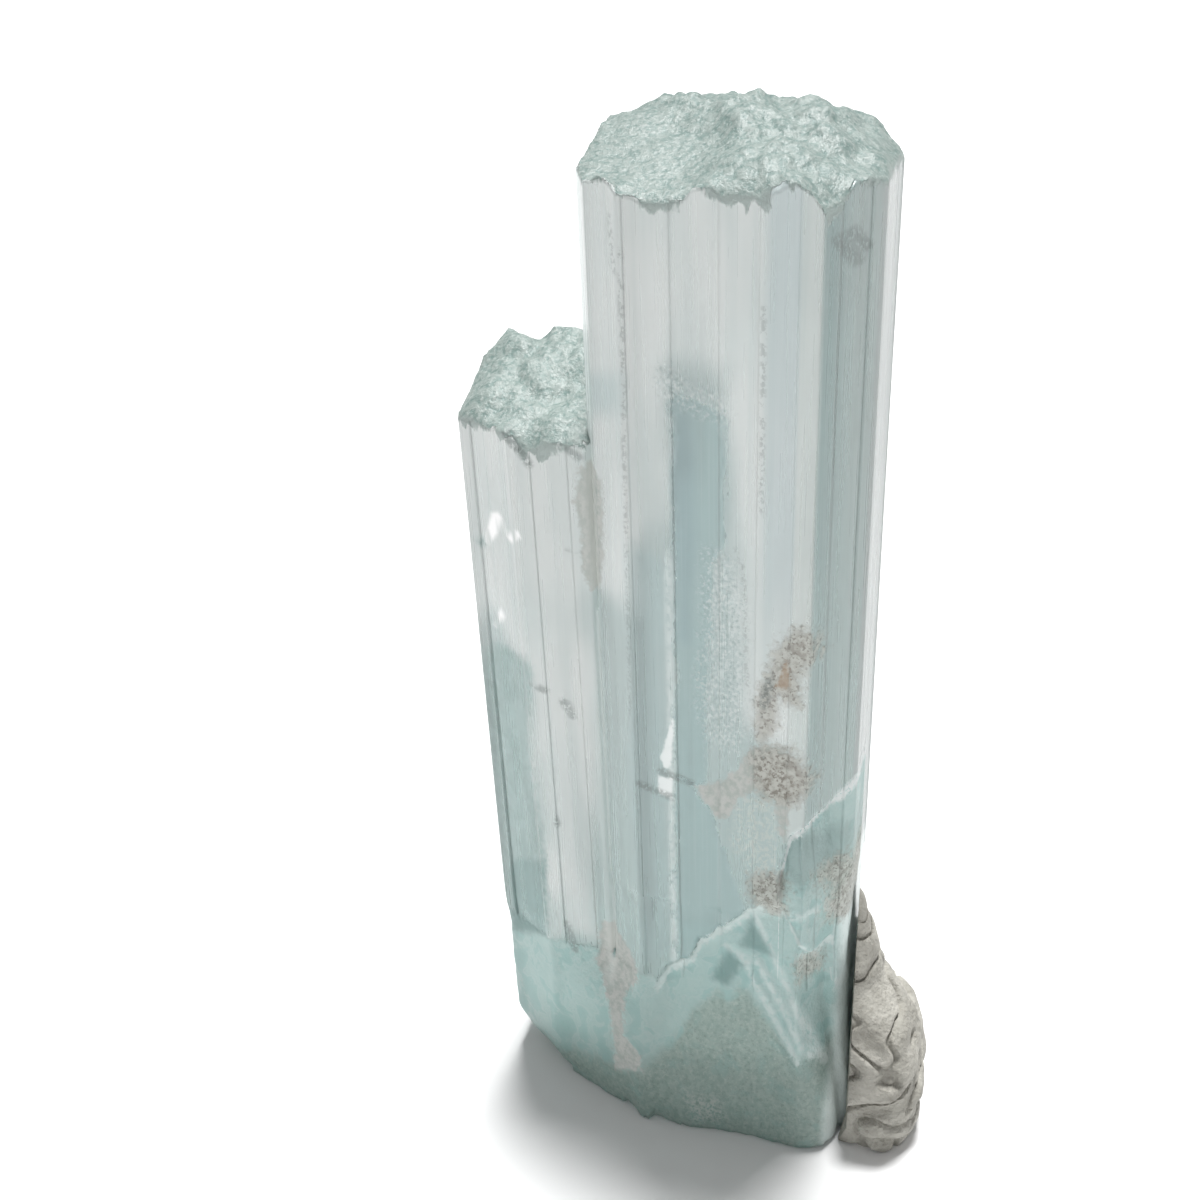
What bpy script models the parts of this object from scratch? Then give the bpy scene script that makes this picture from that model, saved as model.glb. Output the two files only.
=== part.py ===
"""Aquamarine specimen held upright by a lump of mounting putty.

Two hexagonal prisms of beryl grew together side by side with their c axes parallel, and a low overgrowth
fills the foot of the groove between them. Both tops are etched to rough domes, the long faces are striated
along the c axis, and the lower front of the tall prism is broken away below an irregular ledge. A pinched
lump of putty props the right-hand foot.

World frame: the tall prism's c axis is Z, its broad front face looks along -Y, the table is z = 0.
All the sizes below are in millimetres, and each mesh is scaled to metres once it is finished.
"""

import math
import random

import bmesh
import bpy
from mathutils import Matrix, Vector, noise

MM = 0.001

# ---------------------------------------------------------------- driving dimensions, millimetres
# A prism is given by its side faces: heading of the outward normal (degrees, 0 is +X, 270 is the front)
# and distance of the face from the prism's own c axis.
TALL_AXIS = (0.0, 0.0)
TALL_FACES = {0: 8.25, 30: 8.65, 90: 6.2, 150: 8.2, 180: 7.9, 210: 8.5, 240: 7.73, 270: 6.1, 330: 8.16}
SHORT_AXIS = (-10.0, 0.0)
SHORT_LEAN = 0.5  # degrees that the short prism leans away from the tall one, about the table
SHORT_FACES = {0: 3.0, 90: 4.3, 150: 6.5, 180: 6.1, 210: 6.3, 240: 4.93, 270: 4.5, 330: 4.5}
FILLER_AXIS = (-7.4, -3.2)
FILLER_FACES = {0: 1.9, 60: 1.8, 120: 1.8, 180: 3.9, 248: 2.5, 315: 2.75}

# Height of the rim, where the side faces meet the etched top, by heading seen from the dome's middle.
TALL_RIM = (
    (-146, 66.6), (-135, 67.2), (-129, 66.5), (-120, 66.0), (-103, 66.1), (-98, 67.0), (-90, 67.1),
    (-85, 66.4), (-64, 66.3), (-62, 66.9), (-54, 67.7), (-49, 67.0), (-45, 65.7), (-39, 66.0), (-30, 67.1),
    (-14, 66.6), (20, 66.4), (44, 66.8), (90, 67.4), (134, 66.9), (163, 67.8), (175, 67.9), (-176, 67.5),
    (-158, 66.8),
)
SHORT_RIM = (
    (-158, 50.9), (-137, 51.2), (-117, 51.3), (-97, 51.3), (-90, 50.4), (-75, 50.2), (-66, 51.0),
    (-59, 51.3), (-45, 51.2), (0, 53.0), (60, 54.8), (95, 54.7), (108, 53.4), (118, 53.3), (128, 54.2),
    (155, 52.4), (180, 51.4),
)
# Lift of the bottom rim above the table, by heading.
TALL_FOOT = ((-180, 0.3), (-130, 0.2), (-60, 0.1), (-20, 0.3), (60, 0.4), (120, 0.8))
SHORT_FOOT = ((-180, 1.4), (-155, 1.3), (-110, 0.4), (-60, 0.2), (0, 0.2), (60, 0.6), (120, 1.1))
TALL_FOOT_REACH = 1.6  # how far in from the side faces the lift dies out
SHORT_FOOT_REACH = 2.6

TALL_CROWN = 69.5
TALL_CROWN_AT = (-0.5, 3.0)
TALL_CROWN_FALL = (0.024, 0.020)  # drop per square millimetre off the crown, along X and along Y
TALL_KNOBS = (2.1, 0.5)  # spacing of the etched knobs, and how far they stand out
RIM_ROUND = 1.0  # the ends turn down to the rim over about this width
SHORT_CROWN = 51.7
SHORT_DOME_MIDDLE = (-11.6, 0.0)
SHORT_TOP_SLOPE = 0.36  # rise towards the back
SHORT_KNOBS = (1.8, 0.4)
FILLER_FOOT = 0.15
FILLER_TOP = 13.5
FILLER_TOP_SLOPE = 1.5

# The smoother facet on the front-left of the tall top ends at a ridge, and the crown steps up behind it.
FACET_EDGE = 66.3
FACET_RISE = 0.28
FACET_RIDGE = ((-8.0, 1.6), (-3.6, 0.7), (-1.5, -0.8), (1.5, -3.2), (3.0, -6.1))
FACET_STEP = (-0.2, 3.0)  # the step up to the crown starts and ends this far behind the ridge
FACET_FADE = (-2.5, 2.5)  # towards the right the facet passes into the crown between these x
FACET_KNOBS = (2.1, 0.15)
KNOB_SWELL = (2.2, 0.5)  # a slower swell under the knobs: times their spacing, share of their height

# Growth steps on the side faces: share of the face's width where a strip starts, and how far it stands back.
TALL_STRIPS = {270: ((0.03, 0.18), (0.26, 0.42), (0.50, 0.22), (0.70, 0.0), (0.885, 0.2)), 240: ()}
STRIP_RECESS = 0.24
STRIP_UNEVEN = (0.8, 1.1)
STRIP_WIDTH = (1.9, 3.4)
LAST_STRIP = 0.8  # no strip starts nearer than this to the face's far edge
STRIP_EVENED = 0.85  # share of a strip's recess that etching has taken off near the foot
DEEPEST_STRIP = 0.42

# The broken lower front: outline of the ledge along the front face, (x, height), and its depth.
LEDGE_LINE = (
    (-4.0, 12.0), (-3.0, 14.2), (-1.5, 15.1), (-0.9, 16.8), (1.8, 19.6), (3.3, 21.3), (4.6, 21.0),
    (6.4, 17.0),
)
LEDGE_DEPTH = 0.55
LEDGE_RAGGED = (1.6, 0.5)  # teeth of the ledge: number per millimetre, and height
LEDGE_RUN = (-0.4, 0.4)  # the face falls back over this height about the ledge
# The chip on the front-right edge: crumbly top edge (x, height), foot, and depth.
CHIP_TOP = ((4.4, 24.0), (4.9, 27.0), (5.9, 27.9), (7.0, 28.6), (8.3, 29.6))
CHIP_FOOT = 20.5
CHIP_DEPTH = 0.75
CHIP_RUN = (-0.3, 0.4)
FRONT_FACING = -0.4  # a side whose outward direction has a smaller y than this belongs to the front
BACK_ETCHED = (8.0, 14.0)  # elsewhere the etching of the foot ends between these heights
SHORT_ETCHED = (12.0, 15.0)

# The sides draw in towards the axis near the table: (height of the rounding, share of the plan).
TALL_FOOT_ROUND = (1.2, 0.03)
SHORT_FOOT_ROUND = (3.4, 0.13)
FILLER_FOOT_ROUND = (1.2, 0.06)
# The broken foot of the tall prism swells out past its flat faces: swell at the table by heading, and the
# height where it has died out.
TALL_SWELL = (
    (-180, 0.0), (-141, 0.7), (-118, 1.6), (-104, 1.8), (-89, 1.5), (-70, 1.3), (-55, 1.2), (-46, 1.5),
    (-37, 2.7), (-30, 2.6), (-20, 1.6), (-12, 0.8), (5, 0.0),
)
TALL_SWELL_HEIGHT = 15.0
# Shallow waves that etching left on the lower faces: depth, top, and number per millimetre along X, Y and Z.
ETCH_WAVE_DEPTH = 0.10
ETCH_WAVE_TOP = (19.8, 20.2)
ETCH_WAVES = (0.9, 0.9, 0.32)
# Relief on the sides is carried this deep into the ends, and turns past the prism's edges over EDGE_BLEND.
RELIEF_REACH = 3.5
EDGE_BLEND = 0.6

# Seeds of the random strips and knobs.
TALL_STRIPS_SEED = 11
SHORT_STRIPS_SEED = 40
CROWN_SEED = 3.0
FACET_SEED = 5.0
SHORT_TOP_SEED = 9.0

# Fineness of the faceted solid.
TALL_GRID = 0.95
SHORT_GRID = 1.1
TALL_LEVELS = ((0.0, 0.0), (0.72, 0.46), (0.86, 0.955), (1.0, 1.0))  # share of the rows, share of the height
SHORT_LEVELS = ((0.0, 0.0), (0.45, 0.28), (0.80, 0.94), (1.0, 1.0))
TALL_ROWS = 34
SHORT_ROWS = 16
FILLER_ROWS = 6
FILLER_LEVELS = ((0.0, 0.0), (1.0, 1.0))
PUTTY_SUBDIVISIONS = 4
END_CELL = 0.63  # share of a cell at each end of the grid, so that no cut runs along a side face
WELD = 0.15  # points nearer than this become one
CLEARANCE_GRID = 1.6
CLEARANCE_ROWS = 18
CLEARANCE_ENDS = (-1.0, 30.0)

# Putty: a lump pressed to the crystal's right foot, with a smear drawn up the crystal.
PUTTY_MIDDLE = (9.5, 0.2, 4.5)
PUTTY_HALF = (4.1, 5.8, 8.0)
PUTTY_SQUARENESS = 3.0
# In front of the crystal's right edge the lump is pinched off along a line: x of the line at y = 0 on the
# table, how far it moves right for each millimetre up and up to which height, how far for each millimetre
# forward, share of the lump left past it, and the y values between which the pinch ends.
PUTTY_PINCH_AT = 8.45
PUTTY_PINCH_LEAN = 0.3
PUTTY_PINCH_HEIGHT = 2.0
PUTTY_PINCH_SLOPE = 0.144
PUTTY_PINCH_LEFT = 0.04
PUTTY_PINCH_END = (1.5, 4.0)
PUTTY_TAPER = (8.0, 3.0, 0.0048)  # from this X and above this height it narrows, per square millimetre
PUTTY_SKEW = 0.13  # shift to the left for each millimetre backwards
PUTTY_BACK_FALL = 0.05  # share of its height lost for each millimetre behind y = 0
PUTTY_SMEAR_HEIGHT = 6.0
PUTTY_SMEAR_AT = (8.2, 0.6)
PUTTY_SMEAR_SPREAD = (1.5, 3.0)
PUTTY_SMEAR_START = 0.8  # directions from the lump's middle that rise more than this take the full smear
PUTTY_FOLD = 0.5
PUTTY_FOLDS = (0.35, 0.35, 0.6)  # number per millimetre along X, Y and Z
PUTTY_CREASE = 0.42
PUTTY_CREASE_WIDTH = 0.16
GAP = 0.4  # between the putty and the crystal

BERYL_INDEX = 1.57  # index of refraction


# ---------------------------------------------------------------- small helpers
def interpolate(table, at):
    """Straight-line reading of a table of (place, value) sorted by place."""
    if at <= table[0][0]:
        return table[0][1]
    for (start, low), (end, high) in zip(table, table[1:]):
        if at <= end:
            return low + (high - low) * (at - start) / (end - start)
    return table[-1][1]


def by_heading(table, x, y):
    """Reading of a table of (heading in degrees, value) that closes on itself."""
    rows = sorted(table)
    rows = [(rows[-1][0] - 360, rows[-1][1])] + rows + [(rows[0][0] + 360, rows[0][1])]
    return interpolate(rows, math.degrees(math.atan2(y, x)))


def ease(low, high, at):
    """0 below low, 1 above high, with a smooth run between."""
    share = min(max((at - low) / (high - low), 0.0), 1.0)
    return share * share * (3 - 2 * share)


def corner_points(faces):
    """Corners of the prism's outline, anticlockwise: where each two neighbouring faces meet."""
    headings = sorted(faces)
    corners = []
    for here, after in zip(headings, headings[1:] + headings[:1]):
        a, b = math.radians(here), math.radians(after)
        turn = math.sin(b - a)
        x = (faces[here] * math.sin(b) - faces[after] * math.sin(a)) / turn
        y = (faces[after] * math.cos(a) - faces[here] * math.cos(b)) / turn
        corners.append(Vector((x, y)))
    return corners


def depth_inside(faces, x, y):
    """Distance from (x, y) to the nearest side face, positive inside the prism."""
    return min(
        reach - x * math.cos(math.radians(heading)) - y * math.sin(math.radians(heading))
        for heading, reach in faces.items()
    )


def random_strips(width, seed):
    """Growth steps for a face: alternate strips of uneven width that stand forward and back."""
    dice = random.Random(seed)
    strips = []
    at = dice.uniform(*STRIP_WIDTH) * 0.5
    while at < width - LAST_STRIP:
        stands_back = STRIP_RECESS * ((len(strips) + 1) % 2)
        strips.append((at / width, stands_back * dice.uniform(*STRIP_UNEVEN)))
        at += dice.uniform(*STRIP_WIDTH)
    return tuple(strips)


def striated_outline(faces, own_strips, seed):
    """Outline of the prism with the growth steps of each face let into it."""
    headings = sorted(faces)
    corners = corner_points(faces)
    outline = []
    for place, heading in enumerate(headings):
        start, end = corners[place - 1], corners[place]
        run = end - start
        inward = -Vector((math.cos(math.radians(heading)), math.sin(math.radians(heading))))
        strips = own_strips.get(heading)
        if strips is None:
            strips = random_strips(run.length, seed + heading)
        outline.append(start)
        recess = 0.0
        for share, new_recess in strips:
            if new_recess != recess:
                outline.append(start + run * share + inward * recess)
                outline.append(start + run * share + inward * new_recess)
            recess = new_recess
        if recess:
            outline.append(end + inward * recess - run.normalized() * recess)
    return outline


# ---------------------------------------------------------------- prisms
def scored_prism(outline, grid, rows):
    """Upright prism of height 1 on the outline, its ends cut into a grid and its sides into rows."""
    bm = bmesh.new()
    bm.faces.new([bm.verts.new((p.x, p.y, 0.0)) for p in outline])
    for axis in (Vector((1, 0, 0)), Vector((0, 1, 0))):
        reach = [axis.xy.dot(p) for p in outline]
        cuts = int((max(reach) - min(reach)) / grid)
        for cut in range(1, cuts + 1):
            at = min(reach) + (max(reach) - min(reach)) * (cut - 1 + END_CELL) / (cuts - 1 + 2 * END_CELL)
            everything = bm.verts[:] + bm.edges[:] + bm.faces[:]
            bmesh.ops.bisect_plane(bm, geom=everything, plane_co=axis * at, plane_no=axis)
    bmesh.ops.remove_doubles(bm, verts=bm.verts[:], dist=WELD)
    raised = bmesh.ops.extrude_face_region(bm, geom=bm.faces[:])["geom"]
    raised = [item for item in raised if isinstance(item, bmesh.types.BMVert)]
    bmesh.ops.translate(bm, verts=raised, vec=(0, 0, 1))
    upright = [e for e in bm.edges if abs(e.verts[0].co.z - e.verts[1].co.z) > 0.5]
    bmesh.ops.subdivide_edges(bm, edges=upright, cuts=rows - 1, use_grid_fill=True)
    bmesh.ops.recalc_face_normals(bm, faces=bm.faces[:])
    return bm


def outward_at(faces, x, y):
    """Horizontal direction out of the nearest side face, turning smoothly past the prism's edges."""
    headings = [math.radians(heading) for heading in faces]
    depths = [reach - x * math.cos(a) - y * math.sin(a) for reach, a in zip(faces.values(), headings)]
    nearest = min(depths)
    way = Vector((0.0, 0.0, 0.0))
    for depth, angle in zip(depths, headings):
        way += math.exp((nearest - depth) / EDGE_BLEND) * Vector((math.cos(angle), math.sin(angle), 0.0))
    return way.normalized()


def grow(name, bm, faces, levels, ends, foot_round, recess, axis, material, lean=0.0):
    """Gives a scored prism its ends and its relief, and makes it an object.

    ends are the heights of the underside and of the top at a place of the prism's own plan. recess says how
    far a point of the side moves back towards the axis; the ends follow it, less and less further in."""
    bottom, top = ends
    for vert in bm.verts:
        x, y, share = vert.co
        outward = outward_at(faces, x, y)
        depth = depth_inside(faces, x, y)
        follows = 1 - ease(0.0, RELIEF_REACH, depth)
        rise = (top(x, y) - bottom(x, y)) * interpolate(levels, share)
        vert.co.z = bottom(x, y) + rise
        vert.co.xy *= 1 - foot_round[1] * (1 - ease(0.0, foot_round[0], rise)) ** 2
        vert.co -= outward * recess(vert.co, outward, depth) * follows
        vert.co.x -= math.tan(math.radians(lean)) * vert.co.z
    bmesh.ops.triangulate(bm, faces=bm.faces[:])
    return finish(name, bm, axis, material)


def finish(name, bm, axis, material):
    """Moves the mesh to its place, scales it to metres and links it."""
    bmesh.ops.transform(bm, matrix=Matrix.Translation((*axis, 0.0)), verts=bm.verts[:])
    bmesh.ops.scale(bm, vec=(MM, MM, MM), verts=bm.verts[:])
    mesh = bpy.data.meshes.new(name)
    bm.to_mesh(mesh)
    bm.free()
    mesh.materials.append(material)
    made = bpy.data.objects.new(name, mesh)
    bpy.context.scene.collection.objects.link(made)
    return made


def knobs(spacing_and_height, x, y, seed):
    """Rounded knobs of an etched top."""
    spacing, height = spacing_and_height
    place = Vector((x, y, seed * spacing)) / spacing
    far = noise.voronoi(place)[0][0]
    slower, share = KNOB_SWELL
    return height * (1.0 - 2.0 * min(far, 1.0) + share * noise.noise(place / slower))


def tall_top(x, y):
    """Etched dome of the tall crystal, with the smoother facet on its front-left."""
    rim = by_heading(TALL_RIM, x, y)
    inward = max(depth_inside(TALL_FACES, x, y), 0.0)
    across, along = x - TALL_CROWN_AT[0], y - TALL_CROWN_AT[1]
    crown = TALL_CROWN - TALL_CROWN_FALL[0] * across * across - TALL_CROWN_FALL[1] * along * along
    crown += knobs(TALL_KNOBS, x, y, CROWN_SEED)
    facet = FACET_EDGE + FACET_RISE * (y + TALL_FACES[270]) + knobs(FACET_KNOBS, x, y, FACET_SEED)
    behind = y - interpolate(FACET_RIDGE, x)
    crown += (facet - crown) * (1 - ease(*FACET_STEP, behind)) * (1 - ease(*FACET_FADE, x))
    return rim + (crown - rim) * (1 - math.exp(-inward / RIM_ROUND))


def short_top(x, y):
    """Etched top of the short crystal: low in front, rising to the back, with a notch in its back edge."""
    dx, dy = x + SHORT_AXIS[0] - SHORT_DOME_MIDDLE[0], y + SHORT_AXIS[1] - SHORT_DOME_MIDDLE[1]
    rim = by_heading(SHORT_RIM, dx, dy)
    inward = max(depth_inside(SHORT_FACES, x, y), 0.0)
    crown = SHORT_CROWN + SHORT_TOP_SLOPE * (y + SHORT_FACES[270])
    crown += knobs(SHORT_KNOBS, x, y, SHORT_TOP_SEED)
    return rim + (crown - rim) * (1 - math.exp(-inward / RIM_ROUND))


def filler_top(x, y):
    return FILLER_TOP + FILLER_TOP_SLOPE * y


def foot(table, faces, reach):
    """Underside: flat on the table, curling up towards its rim by the lifts of the table."""
    def height(x, y):
        inward = max(depth_inside(faces, x, y), 0.0)
        return by_heading(table, x, y) * (1 - ease(0.0, reach, inward))
    return height


def waves(place):
    """Shallow waves of etching, 0 to about 2."""
    return 1 + noise.noise(Vector([part * count for part, count in zip(place, ETCH_WAVES)]))


def evened(depth):
    """How far a recessed strip comes forward where etching has taken the growth steps off."""
    return STRIP_EVENED * min(max(depth, 0.0), DEEPEST_STRIP)


def tall_recess(place, outward, depth):
    """Relief of the tall crystal's sides: broken lower front, edge chip and etch waves."""
    x, y, z = place
    back = ETCH_WAVE_DEPTH * waves(place) * (1 - ease(*ETCH_WAVE_TOP, z))
    back -= by_heading(TALL_SWELL, x, y) * (1 - ease(0.0, TALL_SWELL_HEIGHT, z))
    if outward.y > FRONT_FACING or x < LEDGE_LINE[0][0]:
        return back - evened(depth) * (1 - ease(*BACK_ETCHED, z))
    count, height = LEDGE_RAGGED
    ledge = interpolate(LEDGE_LINE, x) + height * noise.noise(Vector((x * count, 0, 0)))
    top = interpolate(CHIP_TOP, x) if x > CHIP_TOP[0][0] else ledge
    back += LEDGE_DEPTH * ease(*LEDGE_RUN, ledge - z)
    if top > ledge:
        back += CHIP_DEPTH * ease(*CHIP_RUN, top - z) * ease(CHIP_FOOT, top, z)
    return back - evened(depth) * ease(*LEDGE_RUN, top - z)


def short_recess(place, outward, depth):
    """Relief of the short crystal's sides: the etched foot."""
    return (ETCH_WAVE_DEPTH * waves(place) - evened(depth)) * (1 - ease(*SHORT_ETCHED, place.z))


def crystal(material):
    """The whole specimen, one solid: tall prism, short prism and the filler at the foot of their groove."""
    tall = grow(
        "aquamarine_crystal",
        scored_prism(striated_outline(TALL_FACES, TALL_STRIPS, TALL_STRIPS_SEED), TALL_GRID, TALL_ROWS),
        TALL_FACES, TALL_LEVELS, (foot(TALL_FOOT, TALL_FACES, TALL_FOOT_REACH), tall_top), TALL_FOOT_ROUND,
        tall_recess, TALL_AXIS, material,
    )
    short = grow(
        "short_prism",
        scored_prism(striated_outline(SHORT_FACES, {}, SHORT_STRIPS_SEED), SHORT_GRID, SHORT_ROWS),
        SHORT_FACES, SHORT_LEVELS, (foot(SHORT_FOOT, SHORT_FACES, SHORT_FOOT_REACH), short_top),
        SHORT_FOOT_ROUND, short_recess, SHORT_AXIS, material, SHORT_LEAN,
    )
    filler = grow(
        "groove_filler",
        scored_prism(corner_points(FILLER_FACES), SHORT_GRID, FILLER_ROWS),
        FILLER_FACES, FILLER_LEVELS, (lambda x, y: FILLER_FOOT, filler_top), FILLER_FOOT_ROUND,
        lambda place, outward, depth: 0.0, FILLER_AXIS, material,
    )
    for grown in (short, filler):
        hide(grown)
        union = tall.modifiers.new("grown with " + grown.name, "BOOLEAN")
        union.operation = "UNION"
        union.solver = "EXACT"
        union.object = grown
    return tall


def hide(guide):
    guide.hide_render = True
    guide.display_type = "WIRE"


# ---------------------------------------------------------------- putty
def putty_lump(material):
    """Pinched lump with creases, squarish in plan, its smear drawn up the crystal, cut flat on the table."""
    bm = bmesh.new()
    bmesh.ops.create_icosphere(bm, subdivisions=PUTTY_SUBDIVISIONS, radius=1.0)
    for vert in bm.verts:
        way = vert.co.normalized()
        squared = sum(abs(part) ** PUTTY_SQUARENESS for part in way) ** (-1 / PUTTY_SQUARENESS)
        spot = Vector([m + h * squared * w for m, h, w in zip(PUTTY_MIDDLE, PUTTY_HALF, way)])
        narrow_from, taper_height, taper = PUTTY_TAPER
        spot.x = narrow_from + (spot.x - narrow_from) * (1 - taper * max(spot.z - taper_height, 0.0) ** 2)
        spot.x -= PUTTY_SKEW * spot.y
        spot.z *= 1 - PUTTY_BACK_FALL * max(spot.y, 0.0)
        off = spot.xy - Vector(PUTTY_SMEAR_AT)
        near = math.hypot(off.x / PUTTY_SMEAR_SPREAD[0], off.y / PUTTY_SMEAR_SPREAD[1])
        spot.z += PUTTY_SMEAR_HEIGHT * math.exp(-near * near) * ease(0.0, PUTTY_SMEAR_START, way.z)
        fold = noise.noise(Vector([part * count for part, count in zip(spot, PUTTY_FOLDS)]))
        spot += way * (PUTTY_FOLD * fold - PUTTY_CREASE * (1 - ease(0.0, PUTTY_CREASE_WIDTH, abs(fold))))
        line = PUTTY_PINCH_AT + PUTTY_PINCH_LEAN * min(max(spot.z, 0.0), PUTTY_PINCH_HEIGHT)
        past = line - PUTTY_PINCH_SLOPE * spot.y - spot.x
        if past > 0:
            left = PUTTY_PINCH_LEFT + (1 - PUTTY_PINCH_LEFT) * ease(*PUTTY_PINCH_END, spot.y)
            spot.x += past * (1 - left)
        vert.co = spot
    everything = bm.verts[:] + bm.edges[:] + bm.faces[:]
    bmesh.ops.bisect_plane(bm, geom=everything, plane_co=(0, 0, 0), plane_no=(0, 0, -1), clear_outer=True)
    bmesh.ops.holes_fill(bm, edges=[e for e in bm.edges if e.is_boundary], sides=0)
    bmesh.ops.recalc_face_normals(bm, faces=bm.faces[:])
    bmesh.ops.triangulate(bm, faces=bm.faces[:])
    return finish("mounting_putty", bm, (0.0, 0.0), material)


def crystal_clearance():
    """The tall crystal's foot a little larger, which presses its place into the putty."""
    faces = {heading: reach + GAP for heading, reach in TALL_FACES.items()}
    guide = grow(
        "crystal_clearance", scored_prism(corner_points(faces), CLEARANCE_GRID, CLEARANCE_ROWS), faces,
        FILLER_LEVELS, (lambda x, y: CLEARANCE_ENDS[0], lambda x, y: CLEARANCE_ENDS[1]), FILLER_FOOT_ROUND,
        lambda place, outward, depth: min(tall_recess(place, outward, 0.0), 0.0), TALL_AXIS, None,
    )
    hide(guide)
    return guide


def putty(material):
    lump = putty_lump(material)
    press = lump.modifiers.new("pressed by the crystal", "BOOLEAN")
    press.operation = "DIFFERENCE"
    press.solver = "EXACT"
    press.object = crystal_clearance()
    return lump


# ---------------------------------------------------------------- materials
def plain_material(name, colour, roughness, transmission):
    """A material of one colour; what it adds to the solid is only its look."""
    material = bpy.data.materials.new(name)
    material.use_nodes = True
    shader = material.node_tree.nodes["Principled BSDF"]
    shader.inputs["Base Color"].default_value = (*colour, 1.0)
    shader.inputs["Roughness"].default_value = roughness
    shader.inputs["Transmission Weight"].default_value = transmission
    shader.inputs["IOR"].default_value = BERYL_INDEX
    return material


def main():
    for leftover in list(bpy.data.objects):
        bpy.data.objects.remove(leftover)
    crystal(plain_material("aquamarine", (0.55, 0.72, 0.70), 0.25, 0.6))
    putty(plain_material("putty", (0.58, 0.54, 0.48), 0.9, 0.0))


main()
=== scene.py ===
"""Aquamarine specimen held upright by a lump of mounting putty: the finished surfaces.

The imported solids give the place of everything. The crystal and the putty are each grown again here by the
same method as the solids, from the same sizes, only finer: knobs on the etched tops, striations, terraces on
the broken foot, pits, films and grit. All lengths below are in millimetres, and a finished mesh is scaled to
metres. World frame: Z is the crystals' c axis, the broad front face looks along -Y, the table is z = 0.
"""

import math
import random

import bmesh
import bpy
import numpy as np
from mathutils import Matrix, Vector, noise


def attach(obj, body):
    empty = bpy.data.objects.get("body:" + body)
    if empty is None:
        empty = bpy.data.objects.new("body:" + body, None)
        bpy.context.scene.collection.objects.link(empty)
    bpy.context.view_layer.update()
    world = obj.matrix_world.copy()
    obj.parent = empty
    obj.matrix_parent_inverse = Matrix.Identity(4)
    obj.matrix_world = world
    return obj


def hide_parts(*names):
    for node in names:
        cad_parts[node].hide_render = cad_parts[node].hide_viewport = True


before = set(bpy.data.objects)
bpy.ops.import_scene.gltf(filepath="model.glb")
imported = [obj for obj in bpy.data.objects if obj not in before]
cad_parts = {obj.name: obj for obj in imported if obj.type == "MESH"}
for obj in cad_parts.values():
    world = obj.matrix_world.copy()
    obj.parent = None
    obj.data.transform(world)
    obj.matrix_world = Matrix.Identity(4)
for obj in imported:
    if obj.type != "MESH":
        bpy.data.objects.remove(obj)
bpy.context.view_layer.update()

MM = 0.001

# ---------------------------------------------------------------- the solids' own sizes, millimetres
# A prism is given by its side faces: heading of the outward normal (degrees, 0 is +X, 270 is the front)
# and distance of the face from the prism's own c axis.
TALL_AXIS = (0.0, 0.0)
TALL_FACES = {0: 8.25, 30: 8.65, 90: 6.2, 150: 8.2, 180: 7.9, 210: 8.5, 240: 7.73, 270: 6.1, 330: 8.16}
SHORT_AXIS = (-10.0, 0.0)
SHORT_LEAN = 0.5  # degrees
SHORT_FACES = {0: 3.0, 90: 4.3, 150: 6.5, 180: 6.1, 210: 6.3, 240: 4.93, 270: 4.5, 330: 4.5}
FILLER_AXIS = (-7.4, -3.2)
FILLER_FACES = {0: 1.9, 60: 1.8, 120: 1.8, 180: 3.9, 248: 2.5, 315: 2.75}

# Height of the rim, where the side faces meet the etched top, by heading seen from the dome's middle.
TALL_RIM = (
    (-146, 66.6), (-135, 67.2), (-129, 66.5), (-120, 66.0), (-103, 66.1), (-98, 67.0), (-90, 67.1),
    (-85, 66.4), (-64, 66.3), (-62, 66.9), (-54, 67.7), (-49, 67.0), (-45, 65.7), (-39, 66.0), (-30, 67.1),
    (-14, 66.6), (20, 66.4), (44, 66.8), (90, 67.4), (134, 66.9), (163, 67.8), (175, 67.9), (-176, 67.5),
    (-158, 66.8),
)
SHORT_RIM = (
    (-158, 50.9), (-137, 51.2), (-117, 51.3), (-97, 51.3), (-90, 50.4), (-75, 50.2), (-66, 51.0),
    (-59, 51.3), (-45, 51.2), (0, 53.0), (60, 54.8), (95, 54.7), (108, 53.4), (118, 53.3), (128, 54.2),
    (155, 52.4), (180, 51.4),
)
TALL_FOOT = ((-180, 0.3), (-130, 0.2), (-60, 0.1), (-20, 0.3), (60, 0.4), (120, 0.8))
SHORT_FOOT = ((-180, 1.4), (-155, 1.3), (-110, 0.4), (-60, 0.2), (0, 0.2), (60, 0.6), (120, 1.1))
TALL_FOOT_REACH = 1.6
SHORT_FOOT_REACH = 2.6
TALL_CROWN = 69.5
TALL_CROWN_AT = (-0.5, 3.0)
TALL_CROWN_FALL = (0.024, 0.020)
RIM_ROUND = 1.0
SHORT_CROWN = 51.7
SHORT_DOME_MIDDLE = (-11.6, 0.0)
SHORT_TOP_SLOPE = 0.36
FILLER_FOOT = 0.15
FILLER_TOP = 13.5
FILLER_TOP_SLOPE = 1.5
FACET_EDGE = 66.3
FACET_RISE = 0.28
FACET_RIDGE = ((-8.0, 1.6), (-3.6, 0.7), (-1.5, -0.8), (1.5, -3.2), (3.0, -6.1))
FACET_STEP = (-0.2, 3.0)
FACET_FADE = (-2.5, 2.5)
TALL_STRIPS = {270: ((0.03, 0.18), (0.26, 0.42), (0.50, 0.22), (0.70, 0.0), (0.885, 0.2)), 240: ()}
STRIP_RECESS = 0.24
STRIP_UNEVEN = (0.8, 1.1)
STRIP_WIDTH = (1.9, 3.4)
LAST_STRIP = 0.8
STRIP_EVENED = 0.85
DEEPEST_STRIP = 0.42
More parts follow.
